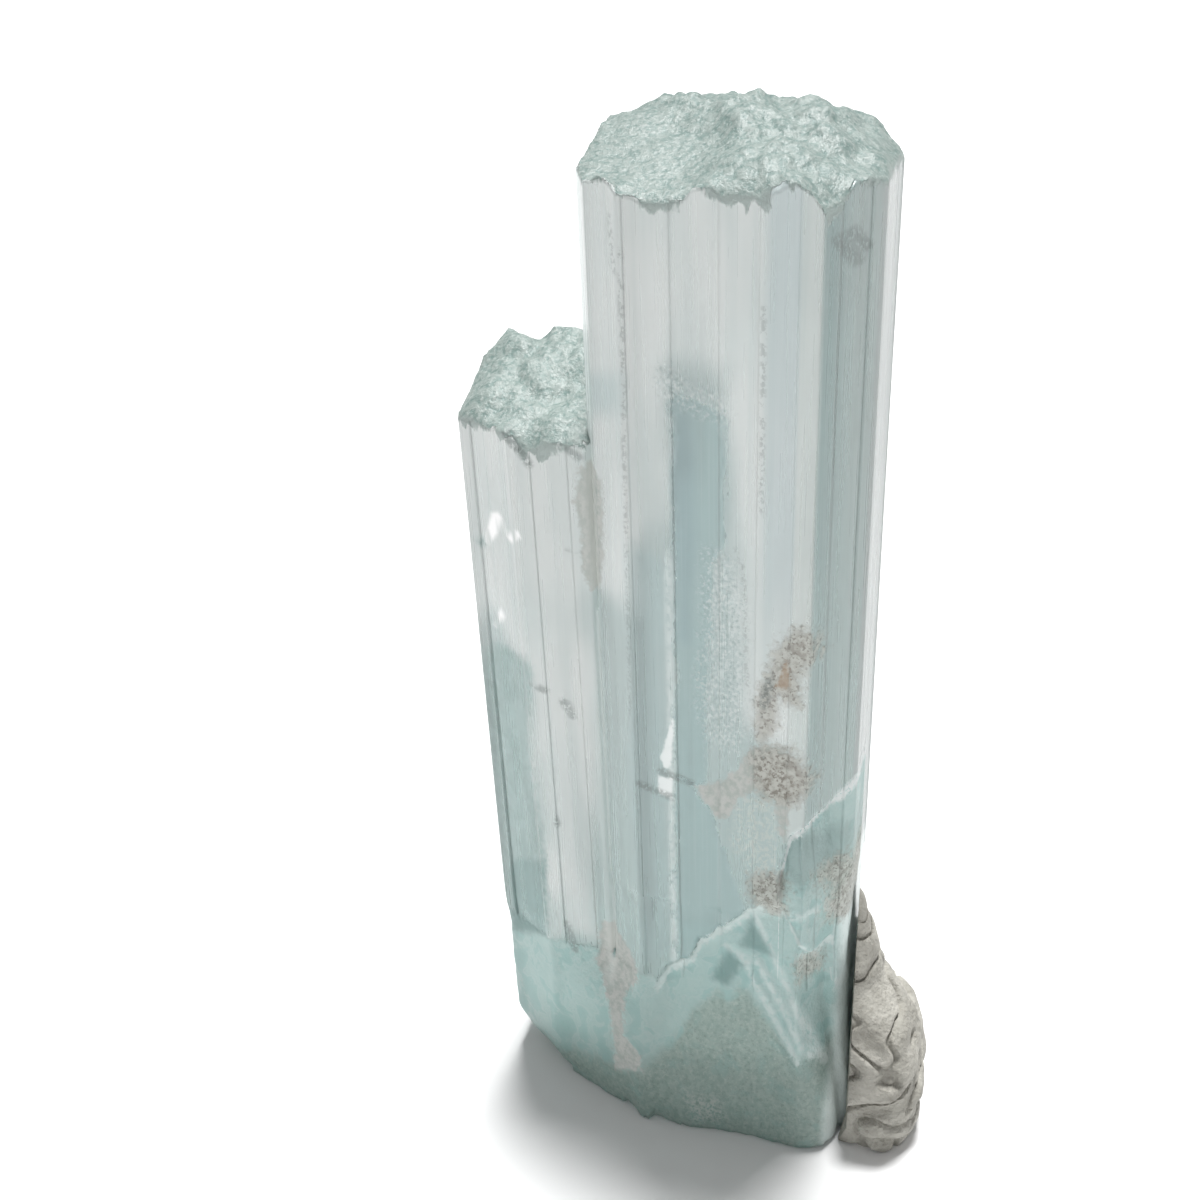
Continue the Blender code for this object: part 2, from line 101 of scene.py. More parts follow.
LEDGE_LINE = (
    (-4.0, 12.0), (-3.0, 14.2), (-1.5, 15.1), (-0.9, 16.8), (1.8, 19.6), (3.3, 21.3), (4.6, 21.0),
    (6.4, 17.0),
)
LEDGE_DEPTH = 0.55
LEDGE_RAGGED = (1.6, 0.5)
LEDGE_RUN = (-0.25, 0.25)
CHIP_TOP = ((4.4, 24.0), (4.9, 27.0), (5.9, 27.9), (7.0, 28.6), (8.3, 29.6))
CHIP_FOOT = 20.5
CHIP_DEPTH = 0.75
CHIP_RUN = (-0.2, 0.3)
FRONT_FACING = -0.4
BACK_ETCHED = (8.0, 14.0)
SHORT_ETCHED = (12.0, 15.0)
TALL_FOOT_ROUND = (1.2, 0.03)
SHORT_FOOT_ROUND = (3.4, 0.13)
FILLER_FOOT_ROUND = (1.2, 0.06)
TALL_SWELL = (
    (-180, 0.0), (-141, 0.7), (-118, 1.6), (-104, 1.8), (-89, 1.5), (-70, 1.3), (-55, 1.2), (-46, 1.5),
    (-37, 2.7), (-30, 2.6), (-20, 1.6), (-12, 0.8), (5, 0.0),
)
TALL_SWELL_HEIGHT = 15.0
ETCH_WAVE_DEPTH = 0.10
ETCH_WAVE_TOP = (19.8, 20.2)
ETCH_WAVES = (0.9, 0.9, 0.32)
RELIEF_REACH = 3.5
EDGE_BLEND = 0.6
TALL_STRIPS_SEED = 11
SHORT_STRIPS_SEED = 40
CROWN_SEED = 3.0
FACET_SEED = 5.0
SHORT_TOP_SEED = 9.0
KNOB_SWELL = (2.2, 0.5)
PUTTY_MIDDLE = (9.5, 0.2, 4.5)
PUTTY_HALF = (4.1, 5.8, 8.0)
PUTTY_SQUARENESS = 3.0
PUTTY_PINCH_AT = 7.95
PUTTY_PINCH_LEAN = 0.3
PUTTY_PINCH_HEIGHT = 2.0
PUTTY_PINCH_SLOPE = 0.144
PUTTY_PINCH_LEFT = 0.04
PUTTY_PINCH_END = (1.5, 4.0)
PUTTY_TAPER = (8.0, 3.0, 0.0048)
PUTTY_SKEW = 0.13
PUTTY_BACK_FALL = 0.05
PUTTY_SMEAR_HEIGHT = 6.0
PUTTY_SMEAR_AT = (8.2, 0.6)
PUTTY_SMEAR_SPREAD = (1.5, 3.0)
PUTTY_SMEAR_START = 0.8
PUTTY_FOLD = 0.5
PUTTY_FOLDS = (0.35, 0.35, 0.6)
PUTTY_CREASE = 0.42
PUTTY_CREASE_WIDTH = 0.16

# ---------------------------------------------------------------- what the finished surfaces add
TALL_GRID = (0.17, 0.26)  # cells across the plan, along X and along Y
SHORT_GRID = (0.24, 0.30)
FILLER_GRID = (0.35, 0.35)
TALL_ROWS = 150
SHORT_ROWS = 96
FILLER_ROWS = 40
# share of the rows, share of the height
TALL_LEVELS = ((0.0, 0.0), (0.62, 0.46), (0.82, 0.91), (1.0, 1.0))
SHORT_LEVELS = ((0.0, 0.0), (0.5, 0.32), (0.76, 0.91), (1.0, 1.0))
FILLER_LEVELS = ((0.0, 0.0), (1.0, 1.0))
PUTTY_SUBDIVISIONS = 7
PUTTY_GAP = 0.06
PUTTY_WRINKLES = 1.0  # number per millimetre
PUTTY_WRINKLE_HEIGHT = 0.12
TALL_KNOBS = ((2.1, 0.50), (0.95, 0.20), (0.48, 0.09))  # etched knobs: spacing and height, coarse to fine
SHORT_KNOBS = ((1.8, 0.40), (0.85, 0.20), (0.42, 0.08))
FACET_KNOBS = ((2.1, 0.15), (0.8, 0.06))
RIM_TEETH = ((1.6, 0.16), (3.6, 0.11))  # teeth of the line where the etching stopped: number per mm, height
STRIATIONS = ((1.1, 0.035), (2.4, 0.014))  # grooves along the c axis: number per millimetre, and depth
FOOT_KNOBS = ((1.5, 0.10), (0.7, 0.05))
SHARP_ANGLE = math.radians(38)

# Zones of the front, drawn as outlines of (x, height).
# Silk zones: painted paler and less clear than the rest, partly the faces' own milky tone and partly painted sheen.
TALL_SILK_AND_SHEEN = (
    (-10.0, 71.0), (6.0, 71.0), (5.95, 44.0), (5.8, 38.0), (5.0, 33.5), (3.2, 34.5), (2.2, 36.0), (1.3, 40.0),
    (1.1, 57.4), (-2.2, 57.0), (-2.35, 48.0), (-4.4, 46.0), (-4.9, 42.0), (-10.0, 42.0),
)
SHORT_SILK_AND_SHEEN = (
    (-16.8, 54.0), (-7.6, 54.0), (-8.3, 14.0), (-12.0, 13.0), (-12.5, 29.7), (-12.0, 35.0), (-14.6, 38.5),
    (-16.8, 37.0),
)
BLUE_WINDOW = (
    (-2.1, 55.8), (-0.6, 55.4), (0.8, 55.0), (0.9, 47.2), (0.2, 45.7), (-0.3, 36.0), (-0.4, 30.0),
    (0.5, 26.5), (1.5, 22.7), (2.1, 20.6), (0.1, 17.3), (-1.2, 16.3), (-1.7, 14.8), (-2.5, 15.2), (-2.2, 35.9),
)
WINDOW_CORE = ((-2.0, 55.3), (-0.9, 55.1), (-1.0, 45.5), (-1.2, 40.1), (-1.9, 40.0), (-2.1, 45.4))
LEFT_PANE = (
    (-4.6, 46.2), (-2.5, 45.5), (-2.7, 32.8), (-3.3, 30.5), (-2.8, 28.2), (-3.1, 15.6), (-5.0, 14.3),
    (-5.0, 27.9),
)
PITTED = ((0.0, 46.3), (1.0, 46.2), (1.8, 43.4), (1.8, 33.3), (0.2, 33.2), (-0.6, 36.0), (-0.2, 41.7))
PITTED_EDGE = ((-2.6, 57.1), (-1.2, 56.2), (0.7, 55.6), (0.7, 54.9), (-1.2, 55.1), (-2.6, 55.9))
CLAY_FILM = (
    (-1.0, 29.7), (0.3, 30.2), (1.8, 31.7), (2.2, 33.4), (4.5, 34.0), (4.7, 31.8), (6.0, 31.5), (4.9, 29.9),
    (4.7, 26.6), (4.3, 27.1), (3.9, 30.1), (3.2, 30.4), (1.8, 29.5), (1.0, 27.6), (0.3, 27.5), (-0.3, 28.5),
)
GROOVE_FILM = (
    (-8.1, 15.8), (-7.2, 15.5), (-6.1, 14.8), (-5.3, 13.4), (-5.2, 12.2), (-6.3, 10.3), (-6.4, 8.9),
    (-6.3, 6.9), (-5.0, 5.8), (-5.0, 4.5), (-7.2, 3.1), (-7.2, 5.7), (-7.4, 8.5), (-8.2, 11.2), (-8.7, 11.7),
    (-8.4, 13.9),
)
JUNCTION_FILM = (
    (-8.1, 50.0), (-7.3, 50.3), (-6.5, 49.6), (-6.6, 47.3), (-6.7, 44.7), (-7.0, 42.2), (-7.7, 41.7),
    (-8.3, 43.0), (-8.2, 45.9), (-8.5, 47.5),
)
UPPER_GRIT = (
    (5.3, 41.9), (5.9, 41.5), (6.0, 40.4), (4.9, 39.5), (4.9, 38.4), (5.1, 37.0), (4.6, 37.3), (4.0, 37.9),
    (3.5, 36.9), (3.7, 35.3), (3.1, 34.1), (3.1, 36.3), (3.2, 37.5), (4.0, 39.5), (4.2, 40.7),
)
MIDDLE_GRIT = ((2.8, 32.5), (4.8, 33.4), (6.1, 31.4), (5.2, 29.9), (3.4, 30.0))
LOWER_GRIT = ((2.8, 23.2), (3.8, 23.8), (4.6, 22.9), (4.2, 22.0), (4.6, 20.8), (3.9, 20.4), (3.0, 21.4))
EDGE_GRIT = ((6.6, 23.3), (7.6, 23.6), (8.4, 22.2), (8.0, 18.4), (7.6, 18.6), (7.2, 20.3), (7.6, 21.3))
SPOT_GRIT = ((5.7, 16.3), (6.4, 15.6), (6.5, 14.6), (6.0, 14.5))
PALE_GRAIN = ((1.8, 29.4), (4.0, 29.8), (4.4, 24.0), (2.6, 23.5), (1.4, 25.9))
CHIP_FLOOR = (
    (4.5, 25.1), (4.6, 26.5), (5.5, 27.1), (6.7, 26.0), (7.5, 26.7), (8.2, 25.6), (8.2, 23.4), (6.6, 23.5),
    (5.5, 22.9), (4.6, 23.5),
)
UPPER_TRIANGLE = ((2.5, 19.4), (1.7, 16.8), (3.9, 16.5))
LOWER_TRIANGLE = ((0.9, 16.3), (-0.2, 13.4), (0.9, 13.0), (2.0, 15.3))
WHITE_WEDGE = ((-2.3, 35.0), (-2.5, 30.6), (-3.4, 30.8))
WHITE_BLOCK = ((-2.5, 30.1), (-3.4, 30.1), (-3.4, 28.7), (-2.5, 28.5))
LEFT_TEAL = (
    (-16.3, 34.3), (-14.6, 36.3), (-12.0, 36.1), (-12.6, 29.7), (-12.0, 20.1), (-12.3, 13.2), (-16.3, 10.9),
)
LEFT_DEEP = ((-15.3, 18.1), (-12.0, 20.2), (-12.3, 13.2), (-15.9, 10.9))
LEFT_TRIANGLE = ((-16.1, 43.3), (-15.0, 43.5), (-14.6, 42.5))
SHOULDER_BLUE = ((-7.9, 56.0), (-4.9, 56.6), (-4.9, 54.3), (-7.9, 53.1))
# Painted light: the crystal's side beside the putty, painted pale to lift the shade that falls there.
PAINTED_LIGHT_BY_PUTTY = ((7.6, 21.0), (9.5, 24.0), (9.5, -1.0), (7.7, -1.0))
PALE_FOOT = ((-1.8, 3.4), (0.4, 3.2), (1.2, 1.2), (-1.0, 0.7))
OCHRE_NUGGETS = (
    ((4.1, 39.7), (4.5, 40.1), (4.9, 39.8), (4.8, 39.2), (4.3, 39.1)),
    ((3.8, 38.0), (4.2, 38.6), (4.9, 38.3), (4.6, 37.9), (4.0, 37.6)),
)
GLINTS = (
    ((-14.9, 43.4), (-14.2, 45.6), (-13.4, 46.0), (-13.7, 45.0), (-14.3, 43.8)),
    ((-13.2, 44.1), (-12.5, 45.2), (-11.8, 45.1), (-12.6, 44.5)),
    ((-14.8, 37.4), (-14.0, 39.2), (-13.5, 39.3), (-14.2, 38.0)),
)
WHITE_LINES = (
    ((-2.45, 46.0), (-2.6, 15.0)), ((0.8, 16.5), (1.8, 16.0), (2.4, 15.4)), ((1.8, 15.8), (6.0, 7.7)),
    ((2.8, 16.0), (6.7, 8.1)), ((2.7, 19.7), (7.6, 7.0)), ((5.2, 16.2), (5.9, 16.8), (6.4, 15.9)),
    ((2.5, 19.9), (4.5, 20.5), (6.4, 20.8), (7.1, 20.2), (8.2, 18.4)),
)
PIT_LINES = (
    ((2.9, 61.0), (2.9, 49.0)), ((1.3, 47.2), (1.9, 45.6), (2.1, 40.0), (2.2, 37.3), (3.1, 35.6)),
    ((-5.3, 65.2), (-5.1, 62.3)), ((-4.7, 63.5), (-4.9, 48.0), (-5.1, 34.0)),
)
DARK_LINES = (
    ((-3.2, 30.5), (-1.3, 29.9)), ((-4.6, 29.2), (-2.5, 28.6)), ((-12.6, 51.5), (-11.7, 50.6), (-11.2, 49.8)),
    ((-11.9, 34.4), (-9.4, 33.1)), ((3.7, 38.7), (3.3, 37.4), (3.2, 36.3)), ((-9.6, 33.2), (-9.4, 32.4)),
    ((-8.6, 50.9), (-8.1, 50.6)), ((-9.1, 44.6), (-8.2, 44.6)), ((6.4, 64.6), (6.7, 63.9), (7.2, 63.0)),
    ((6.9, 64.7), (7.5, 63.6)), ((-10.9, 24.2), (-10.9, 23.2)), ((-10.7, 14.8), (-10.2, 12.5)),
)
TERRACE_LINE = (
    (-5.5, 4.4), (-4.4, 5.2), (-2.3, 8.2), (-1.5, 10.1), (-0.6, 11.4), (0.1, 12.3), (0.6, 12.5), (0.9, 11.6),
    (1.7, 13.1), (2.1, 13.1), (2.7, 12.1), (4.1, 10.4), (5.6, 7.7), (7.4, 8.2), (9.0, 9.0),
)
TERRACE_DEPTH = 0.12
TERRACE_RUN = (-0.25, 0.25)
RIDGE_LINES = (((1.8, 15.8), (6.0, 7.7)), ((2.8, 16.0), (6.7, 8.1)))
RIDGE_HEIGHT = 0.12
RIDGE_SIDES = (0.05, 0.45)
STRIATED_ABOVE = (12.0, 22.0)
GROOVE_ACROSS = (-11.0, -2.5)
GROOVE_TOP = 13.0
GROOVE_ROUNDING = 60  # passes
FOOT_ROUNDING = 6
FOOT_WELD = 0.07
GROOVE_REACH = 0.9
SHORT_TOP_SPARE = 1.5
FOOT_KNOBS_TOP = 13.0
STRIPS_WORN = 0.9  # share of the growth steps worn off all the way up

# ---------------------------------------------------------------- camera, floor and light
CAMERA_AT = (20.56, -82.48, 91.0)
CAMERA_PITCH = 31.0
CAMERA_YAW = -19.6
CAMERA_ROLL = -2.6
LENS = 48.6
SENSOR = 36.0
ROOM_LIGHT = 0.36
SOFTBOX_FROM = (0.0, 0.18, 1.0)  # direction in which the overhead softbox lies, far off
SOFTBOX_WIDTH = 12.0  # degrees
SOFTBOX_STRENGTH = 5.0


# ---------------------------------------------------------------- small helpers
def interpolate(table, at):
    """Straight-line reading of a table of (place, value) sorted by place."""
    if at <= table[0][0]:
        return table[0][1]
    for (start, low), (end, high) in zip(table, table[1:]):
        if at <= end:
            return low + (high - low) * (at - start) / (end - start)
    return table[-1][1]


def by_heading(table, x, y):
    """Reading of a table of (heading in degrees, value) that closes on itself."""
    rows = sorted(table)
    rows = [(rows[-1][0] - 360, rows[-1][1])] + rows + [(rows[0][0] + 360, rows[0][1])]
    return interpolate(rows, math.degrees(math.atan2(y, x)))


def ease(low, high, at):
    """0 below low, 1 above high, with a smooth run between."""
    share = min(max((at - low) / (high - low), 0.0), 1.0)
    return share * share * (3 - 2 * share)


def corner_points(faces):
    """Corners of the prism's outline, anticlockwise: where each two neighbouring faces meet."""
    headings = sorted(faces)
    corners = []
    for here, after in zip(headings, headings[1:] + headings[:1]):
        a, b = math.radians(here), math.radians(after)
        turn = math.sin(b - a)
        x = (faces[here] * math.sin(b) - faces[after] * math.sin(a)) / turn
        y = (faces[after] * math.cos(a) - faces[here] * math.cos(b)) / turn
        corners.append(Vector((x, y)))
    return corners


def depth_inside(faces, x, y):
    """Distance from (x, y) to the nearest side face, positive inside the prism."""
    return min(
        reach - x * math.cos(math.radians(heading)) - y * math.sin(math.radians(heading))
        for heading, reach in faces.items()
    )


def random_strips(width, seed):
    """Growth steps for a face: alternate strips of uneven width that stand forward and back."""
    dice = random.Random(seed)
    strips = []
    at = dice.uniform(*STRIP_WIDTH) * 0.5
    while at < width - LAST_STRIP:
        stands_back = STRIP_RECESS * ((len(strips) + 1) % 2)
        strips.append((at / width, stands_back * dice.uniform(*STRIP_UNEVEN)))
        at += dice.uniform(*STRIP_WIDTH)
    return tuple(strips)


def striated_outline(faces, own_strips, seed):
    """Outline of the prism with the growth steps of each face let into it."""
    headings = sorted(faces)
    corners = corner_points(faces)
    outline = []
    for place, heading in enumerate(headings):
        start, end = corners[place - 1], corners[place]
        run = end - start
        inward = -Vector((math.cos(math.radians(heading)), math.sin(math.radians(heading))))
        strips = own_strips.get(heading)
        if strips is None:
            strips = random_strips(run.length, seed + heading)
        outline.append(start)
        recess = 0.0
        for share, new_recess in strips:
            if new_recess != recess:
                outline.append(start + run * share + inward * recess)
                outline.append(start + run * share + inward * new_recess)
            recess = new_recess
        if recess:
            outline.append(end + inward * recess - run.normalized() * recess)
    return outline


# ---------------------------------------------------------------- prisms
def scored_prism(outline, grid, rows):
    """Upright prism of height 1 on the outline, its ends cut into a grid and its sides into rows."""
    bm = bmesh.new()
    bm.faces.new([bm.verts.new((p.x, p.y, 0.0)) for p in outline])
    for axis, cell in zip((Vector((1, 0, 0)), Vector((0, 1, 0))), grid):
        reach = [axis.xy.dot(p) for p in outline]
        cuts = int((max(reach) - min(reach)) / cell)
        for cut in range(1, cuts + 1):
            at = min(reach) + (max(reach) - min(reach)) * (cut - 0.37) / (cuts + 0.26)
            everything = bm.verts[:] + bm.edges[:] + bm.faces[:]
            bmesh.ops.bisect_plane(bm, geom=everything, plane_co=axis * at, plane_no=axis)
    bmesh.ops.remove_doubles(bm, verts=bm.verts[:], dist=min(grid) * 0.15)
    raised = bmesh.ops.extrude_face_region(bm, geom=bm.faces[:])["geom"]
    raised = [item for item in raised if isinstance(item, bmesh.types.BMVert)]
    bmesh.ops.translate(bm, verts=raised, vec=(0, 0, 1))
    upright = [e for e in bm.edges if abs(e.verts[0].co.z - e.verts[1].co.z) > 0.5]
    bmesh.ops.subdivide_edges(bm, edges=upright, cuts=rows - 1, use_grid_fill=True)
    bmesh.ops.recalc_face_normals(bm, faces=bm.faces[:])
    return bm


def outward_at(faces, x, y):
    """Horizontal direction out of the nearest side face, turning smoothly past the prism's edges."""
    headings = [math.radians(heading) for heading in faces]
    depths = [reach - x * math.cos(a) - y * math.sin(a) for reach, a in zip(faces.values(), headings)]
    nearest = min(depths)
    way = Vector((0.0, 0.0, 0.0))
    for depth, angle in zip(depths, headings):
        way += math.exp((nearest - depth) / EDGE_BLEND) * Vector((math.cos(angle), math.sin(angle), 0.0))
    return way.normalized()


def grow(name, bm, faces, levels, ends, foot_round, recess, axis, lean=0.0):
    """Gives a scored prism its ends and its relief, and makes it an object.

    ends are the heights of the underside and of the top at a place of the prism's own plan. recess says how
    far a point of the side stands back from its flat face; the ends follow it, less and less further in."""
    bottom, top = ends
    plan = {}
    for vert in bm.verts:
        x, y, share = vert.co
        key = (round(x, 3), round(y, 3))
        if key not in plan:
            plan[key] = (bottom(x, y), top(x, y), outward_at(faces, x, y), depth_inside(faces, x, y))
        low, high, outward, depth = plan[key]
        follows = 1 - ease(0.0, RELIEF_REACH, depth)
        rise = (high - low) * interpolate(levels, share)
        vert.co.z = low + rise
        vert.co.xy *= 1 - foot_round[1] * (1 - ease(0.0, foot_round[0], rise)) ** 2
        if follows > 0:
            vert.co -= outward * recess(vert.co, outward, depth) * follows
        vert.co.x -= math.tan(math.radians(lean)) * vert.co.z
    bmesh.ops.triangulate(bm, faces=bm.faces[:])
    return finish(name, bm, axis)


def finish(name, bm, axis=(0.0, 0.0)):
    """Moves the mesh to its place, scales it to metres and links it."""
    bmesh.ops.transform(bm, matrix=Matrix.Translation((*axis, 0.0)), verts=bm.verts[:])
    bmesh.ops.scale(bm, vec=(MM, MM, MM), verts=bm.verts[:])
    mesh = bpy.data.meshes.new(name)
    bm.to_mesh(mesh)
    bm.free()
    made = bpy.data.objects.new(name, mesh)
    bpy.context.scene.collection.objects.link(made)
    return made


def combine(base, guides, operation):
    """Joins the guides to the base, or cuts them from it, and leaves one finished mesh."""
    for guide in guides:
        step = base.modifiers.new(guide.name, "BOOLEAN")
        step.operation = operation
        step.solver = "EXACT"
        step.object = guide
    graph = bpy.context.evaluated_depsgraph_get()
    made = bpy.data.meshes.new_from_object(base.evaluated_get(graph))
    base.modifiers.clear()
    base.data = made
    for guide in guides:
        bpy.data.objects.remove(guide)


# ---------------------------------------------------------------- ends and relief
def lumps(place):
    """Rounded knobs of an etched surface, one unit apart, about -1 to 1."""
    slower, share = KNOB_SWELL
    far = noise.voronoi(place)[0][0]
    return 1.0 - 2.0 * min(far, 1.0) + share * noise.noise(place / slower)


def knobs(layers, x, y, seed):
    """Rounded knobs of an etched top, finer ones on coarser ones."""
    rise = 0.0
    for layer, (spacing, height) in enumerate(layers):
        at = seed + 2 * layer
        rise += height * lumps(Vector((x / spacing, y / spacing, at)))
    return rise


def ragged(x, y):
    """Small teeth of the line where the etching stopped."""
    return sum(height * noise.noise(Vector((x * count, y * count, 0.0))) for count, height in RIM_TEETH)


def tall_top(x, y):
    """Etched dome of the tall crystal, with the smoother facet on its front-left."""
    rim = by_heading(TALL_RIM, x, y) + ragged(x, y)
    inward = max(depth_inside(TALL_FACES, x, y), 0.0)
    across, along = x - TALL_CROWN_AT[0], y - TALL_CROWN_AT[1]
    crown = TALL_CROWN - TALL_CROWN_FALL[0] * across * across - TALL_CROWN_FALL[1] * along * along
    crown += knobs(TALL_KNOBS, x, y, CROWN_SEED)
    facet = FACET_EDGE + FACET_RISE * (y + TALL_FACES[270]) + knobs(FACET_KNOBS, x, y, FACET_SEED)
    behind = y - interpolate(FACET_RIDGE, x)
    crown += (facet - crown) * (1 - ease(*FACET_STEP, behind)) * (1 - ease(*FACET_FADE, x))
    return rim + (crown - rim) * (1 - math.exp(-inward / RIM_ROUND))


def short_top(x, y):
    """Etched top of the short crystal: low in front, rising to the back, with a notch in its back edge."""
    dx, dy = x + SHORT_AXIS[0] - SHORT_DOME_MIDDLE[0], y + SHORT_AXIS[1] - SHORT_DOME_MIDDLE[1]
    rim = by_heading(SHORT_RIM, dx, dy) + ragged(x, y)
    inward = max(depth_inside(SHORT_FACES, x, y), 0.0)
    crown = SHORT_CROWN + SHORT_TOP_SLOPE * (y + SHORT_FACES[270])
    crown += knobs(SHORT_KNOBS, x, y, SHORT_TOP_SEED)
    return rim + (crown - rim) * (1 - math.exp(-inward / RIM_ROUND))


def filler_top(x, y):
    return FILLER_TOP + FILLER_TOP_SLOPE * y


def foot(table, faces, reach):
    """Underside: flat on the table, curling up towards its rim by the lifts of the table."""
    def height(x, y):
        inward = max(depth_inside(faces, x, y), 0.0)
        return by_heading(table, x, y) * (1 - ease(0.0, reach, inward))
    return height


def striation(x, y, z):
    """Fine grooves along the c axis."""
    return sum(
        depth * noise.noise(Vector((x * count, y * count, z * 0.03))) for count, depth in STRIATIONS
    )


def waves(place):
    """Shallow waves of etching, 0 to about 2."""
    return 1 + noise.noise(Vector([part * count for part, count in zip(place, ETCH_WAVES)]))


def evened(depth):
    """How far a recessed strip comes forward where etching has taken the growth steps off."""
    return STRIP_EVENED * min(max(depth, 0.0), DEEPEST_STRIP)


def foot_knobs(place, top):
    """Low knobs of the broken foot, dying out below the given height."""
    fade = 1 - ease(top - 6.0, top, place.z)
    return fade * sum(height * lumps(place / spacing) for spacing, height in FOOT_KNOBS)


def beside(line, x, z):
    """Distance from (x, z) to a straight line piece between two points."""
    (x1, z1), (x2, z2) = line
    run = Vector((x2 - x1, z2 - z1))
    share = min(max(Vector((x - x1, z - z1)).dot(run) / run.length_squared, 0.0), 1.0)
    return math.hypot(x - x1 - share * run.x, z - z1 - share * run.y)


def tall_recess(place, outward, depth):
    """Relief of the tall crystal's sides: broken lower front, terraces, edge chip and etch waves."""
    x, y, z = place
    back = ETCH_WAVE_DEPTH * waves(place) * (1 - ease(*ETCH_WAVE_TOP, z))
    back -= by_heading(TALL_SWELL, x, y) * (1 - ease(0.0, TALL_SWELL_HEIGHT, z))
    back += striation(x, y, z) * ease(*STRIATED_ABOVE, z) - foot_knobs(place, FOOT_KNOBS_TOP)
    if outward.y > FRONT_FACING or x < LEDGE_LINE[0][0]:
        return back - evened(depth) * (STRIPS_WORN + (1 - STRIPS_WORN) * (1 - ease(*BACK_ETCHED, z)))
    count, height = LEDGE_RAGGED
    ledge = interpolate(LEDGE_LINE, x) + height * noise.noise(Vector((x * count, 0, 0)))
    top = interpolate(CHIP_TOP, x) if x > CHIP_TOP[0][0] else ledge
    back += LEDGE_DEPTH * ease(*LEDGE_RUN, ledge - z)
    if top > ledge:
        back += CHIP_DEPTH * ease(*CHIP_RUN, top - z) * ease(CHIP_FOOT, top, z)
    back += TERRACE_DEPTH * ease(*TERRACE_RUN, interpolate(TERRACE_LINE, x) - z)
    for line in RIDGE_LINES:
        back -= RIDGE_HEIGHT * (1 - ease(*RIDGE_SIDES, beside(line, x, z)))
    return back - evened(depth) * (STRIPS_WORN + (1 - STRIPS_WORN) * ease(*LEDGE_RUN, top - z))


def short_recess(place, outward, depth):
    """Relief of the short crystal's sides: soft striations, and the etched foot."""
    x, y, z = place
    etching = 1 - ease(*SHORT_ETCHED, z)
    back = ETCH_WAVE_DEPTH * waves(place) * etching - foot_knobs(place, SHORT_ETCHED[1])
    back += striation(x + SHORT_AXIS[0], y, z) * (1 - etching)
    return back - evened(depth)


def filler_recess(place, outward, depth):
    return -foot_knobs(place, FILLER_TOP)


# ---------------------------------------------------------------- zones kept on the mesh
def depth_in_outline(outline, x, z):
    """How far each point lies inside the outline, negative outside it."""
    inside = np.zeros(len(x), bool)
    nearest = np.full(len(x), 1e9)
    for (x1, z1), (x2, z2) in zip(outline, outline[1:] + outline[:1]):
        run_x, run_z = x2 - x1, z2 - z1
        share = np.clip(((x - x1) * run_x + (z - z1) * run_z) / (run_x ** 2 + run_z ** 2), 0, 1)
        nearest = np.minimum(nearest, np.hypot(x - x1 - share * run_x, z - z1 - share * run_z))
        if z1 != z2:
            inside ^= ((z1 > z) != (z2 > z)) & (x < x1 + run_x * (z - z1) / run_z)
    return np.where(inside, nearest, -nearest)


def beside_lines(lines, x, z):
    """Distance of each point from the nearest of the lines."""
    nearest = np.full(len(x), 9.0)
    for line in lines:
        for (x1, z1), (x2, z2) in zip(line, line[1:]):
            run_x, run_z = x2 - x1, z2 - z1
            share = np.clip(((x - x1) * run_x + (z - z1) * run_z) / (run_x ** 2 + run_z ** 2), 0, 1)
            nearest = np.minimum(nearest, np.hypot(x - x1 - share * run_x, z - z1 - share * run_z))
    return nearest


def deepest(outlines, x, z):
    return np.max([depth_in_outline(outline, x, z) for outline in outlines], axis=0)


def keep_zone(mesh, name, depth, reach=2.0):
    """Stores a zone on the mesh, as the depth inside its edge in millimetres."""
    zone = mesh.attributes.new(name, "FLOAT", "POINT")
    zone.data.foreach_set("value", np.clip(depth, -reach, reach).astype(np.float32))


def rim_depth(x, y, z):
    """How far a point lies inside the etched tops, negative below their rims."""
    depths = []
    for px, py, pz in zip(x, y, z):
        tall = pz - by_heading(TALL_RIM, px, py) + max(depth_inside(TALL_FACES, px, py), 0.0)
        sx = px - SHORT_AXIS[0] + math.tan(math.radians(SHORT_LEAN)) * pz
        inward = depth_inside(SHORT_FACES, sx, py)
        short = pz - by_heading(SHORT_RIM, px - SHORT_DOME_MIDDLE[0], py) + max(inward, 0.0)
        on_short = inward > depth_inside(TALL_FACES, px, py) and pz < short_top(sx, py) + SHORT_TOP_SPARE
        depths.append(short if on_short else tall)
    return np.array(depths)


def groove_depth(x, y, z):
    """How near a point of one prism lies to the other prism, positive in the groove between them, where light is
    painted.
    """
    depths = []
    for px, py, pz in zip(x, y, z):
        sx = px - SHORT_AXIS[0] + math.tan(math.radians(SHORT_LEAN)) * pz
        depths.append(min(depth_inside(TALL_FACES, px, py), depth_inside(SHORT_FACES, sx, py)))
    return np.array(depths) + GROOVE_REACH


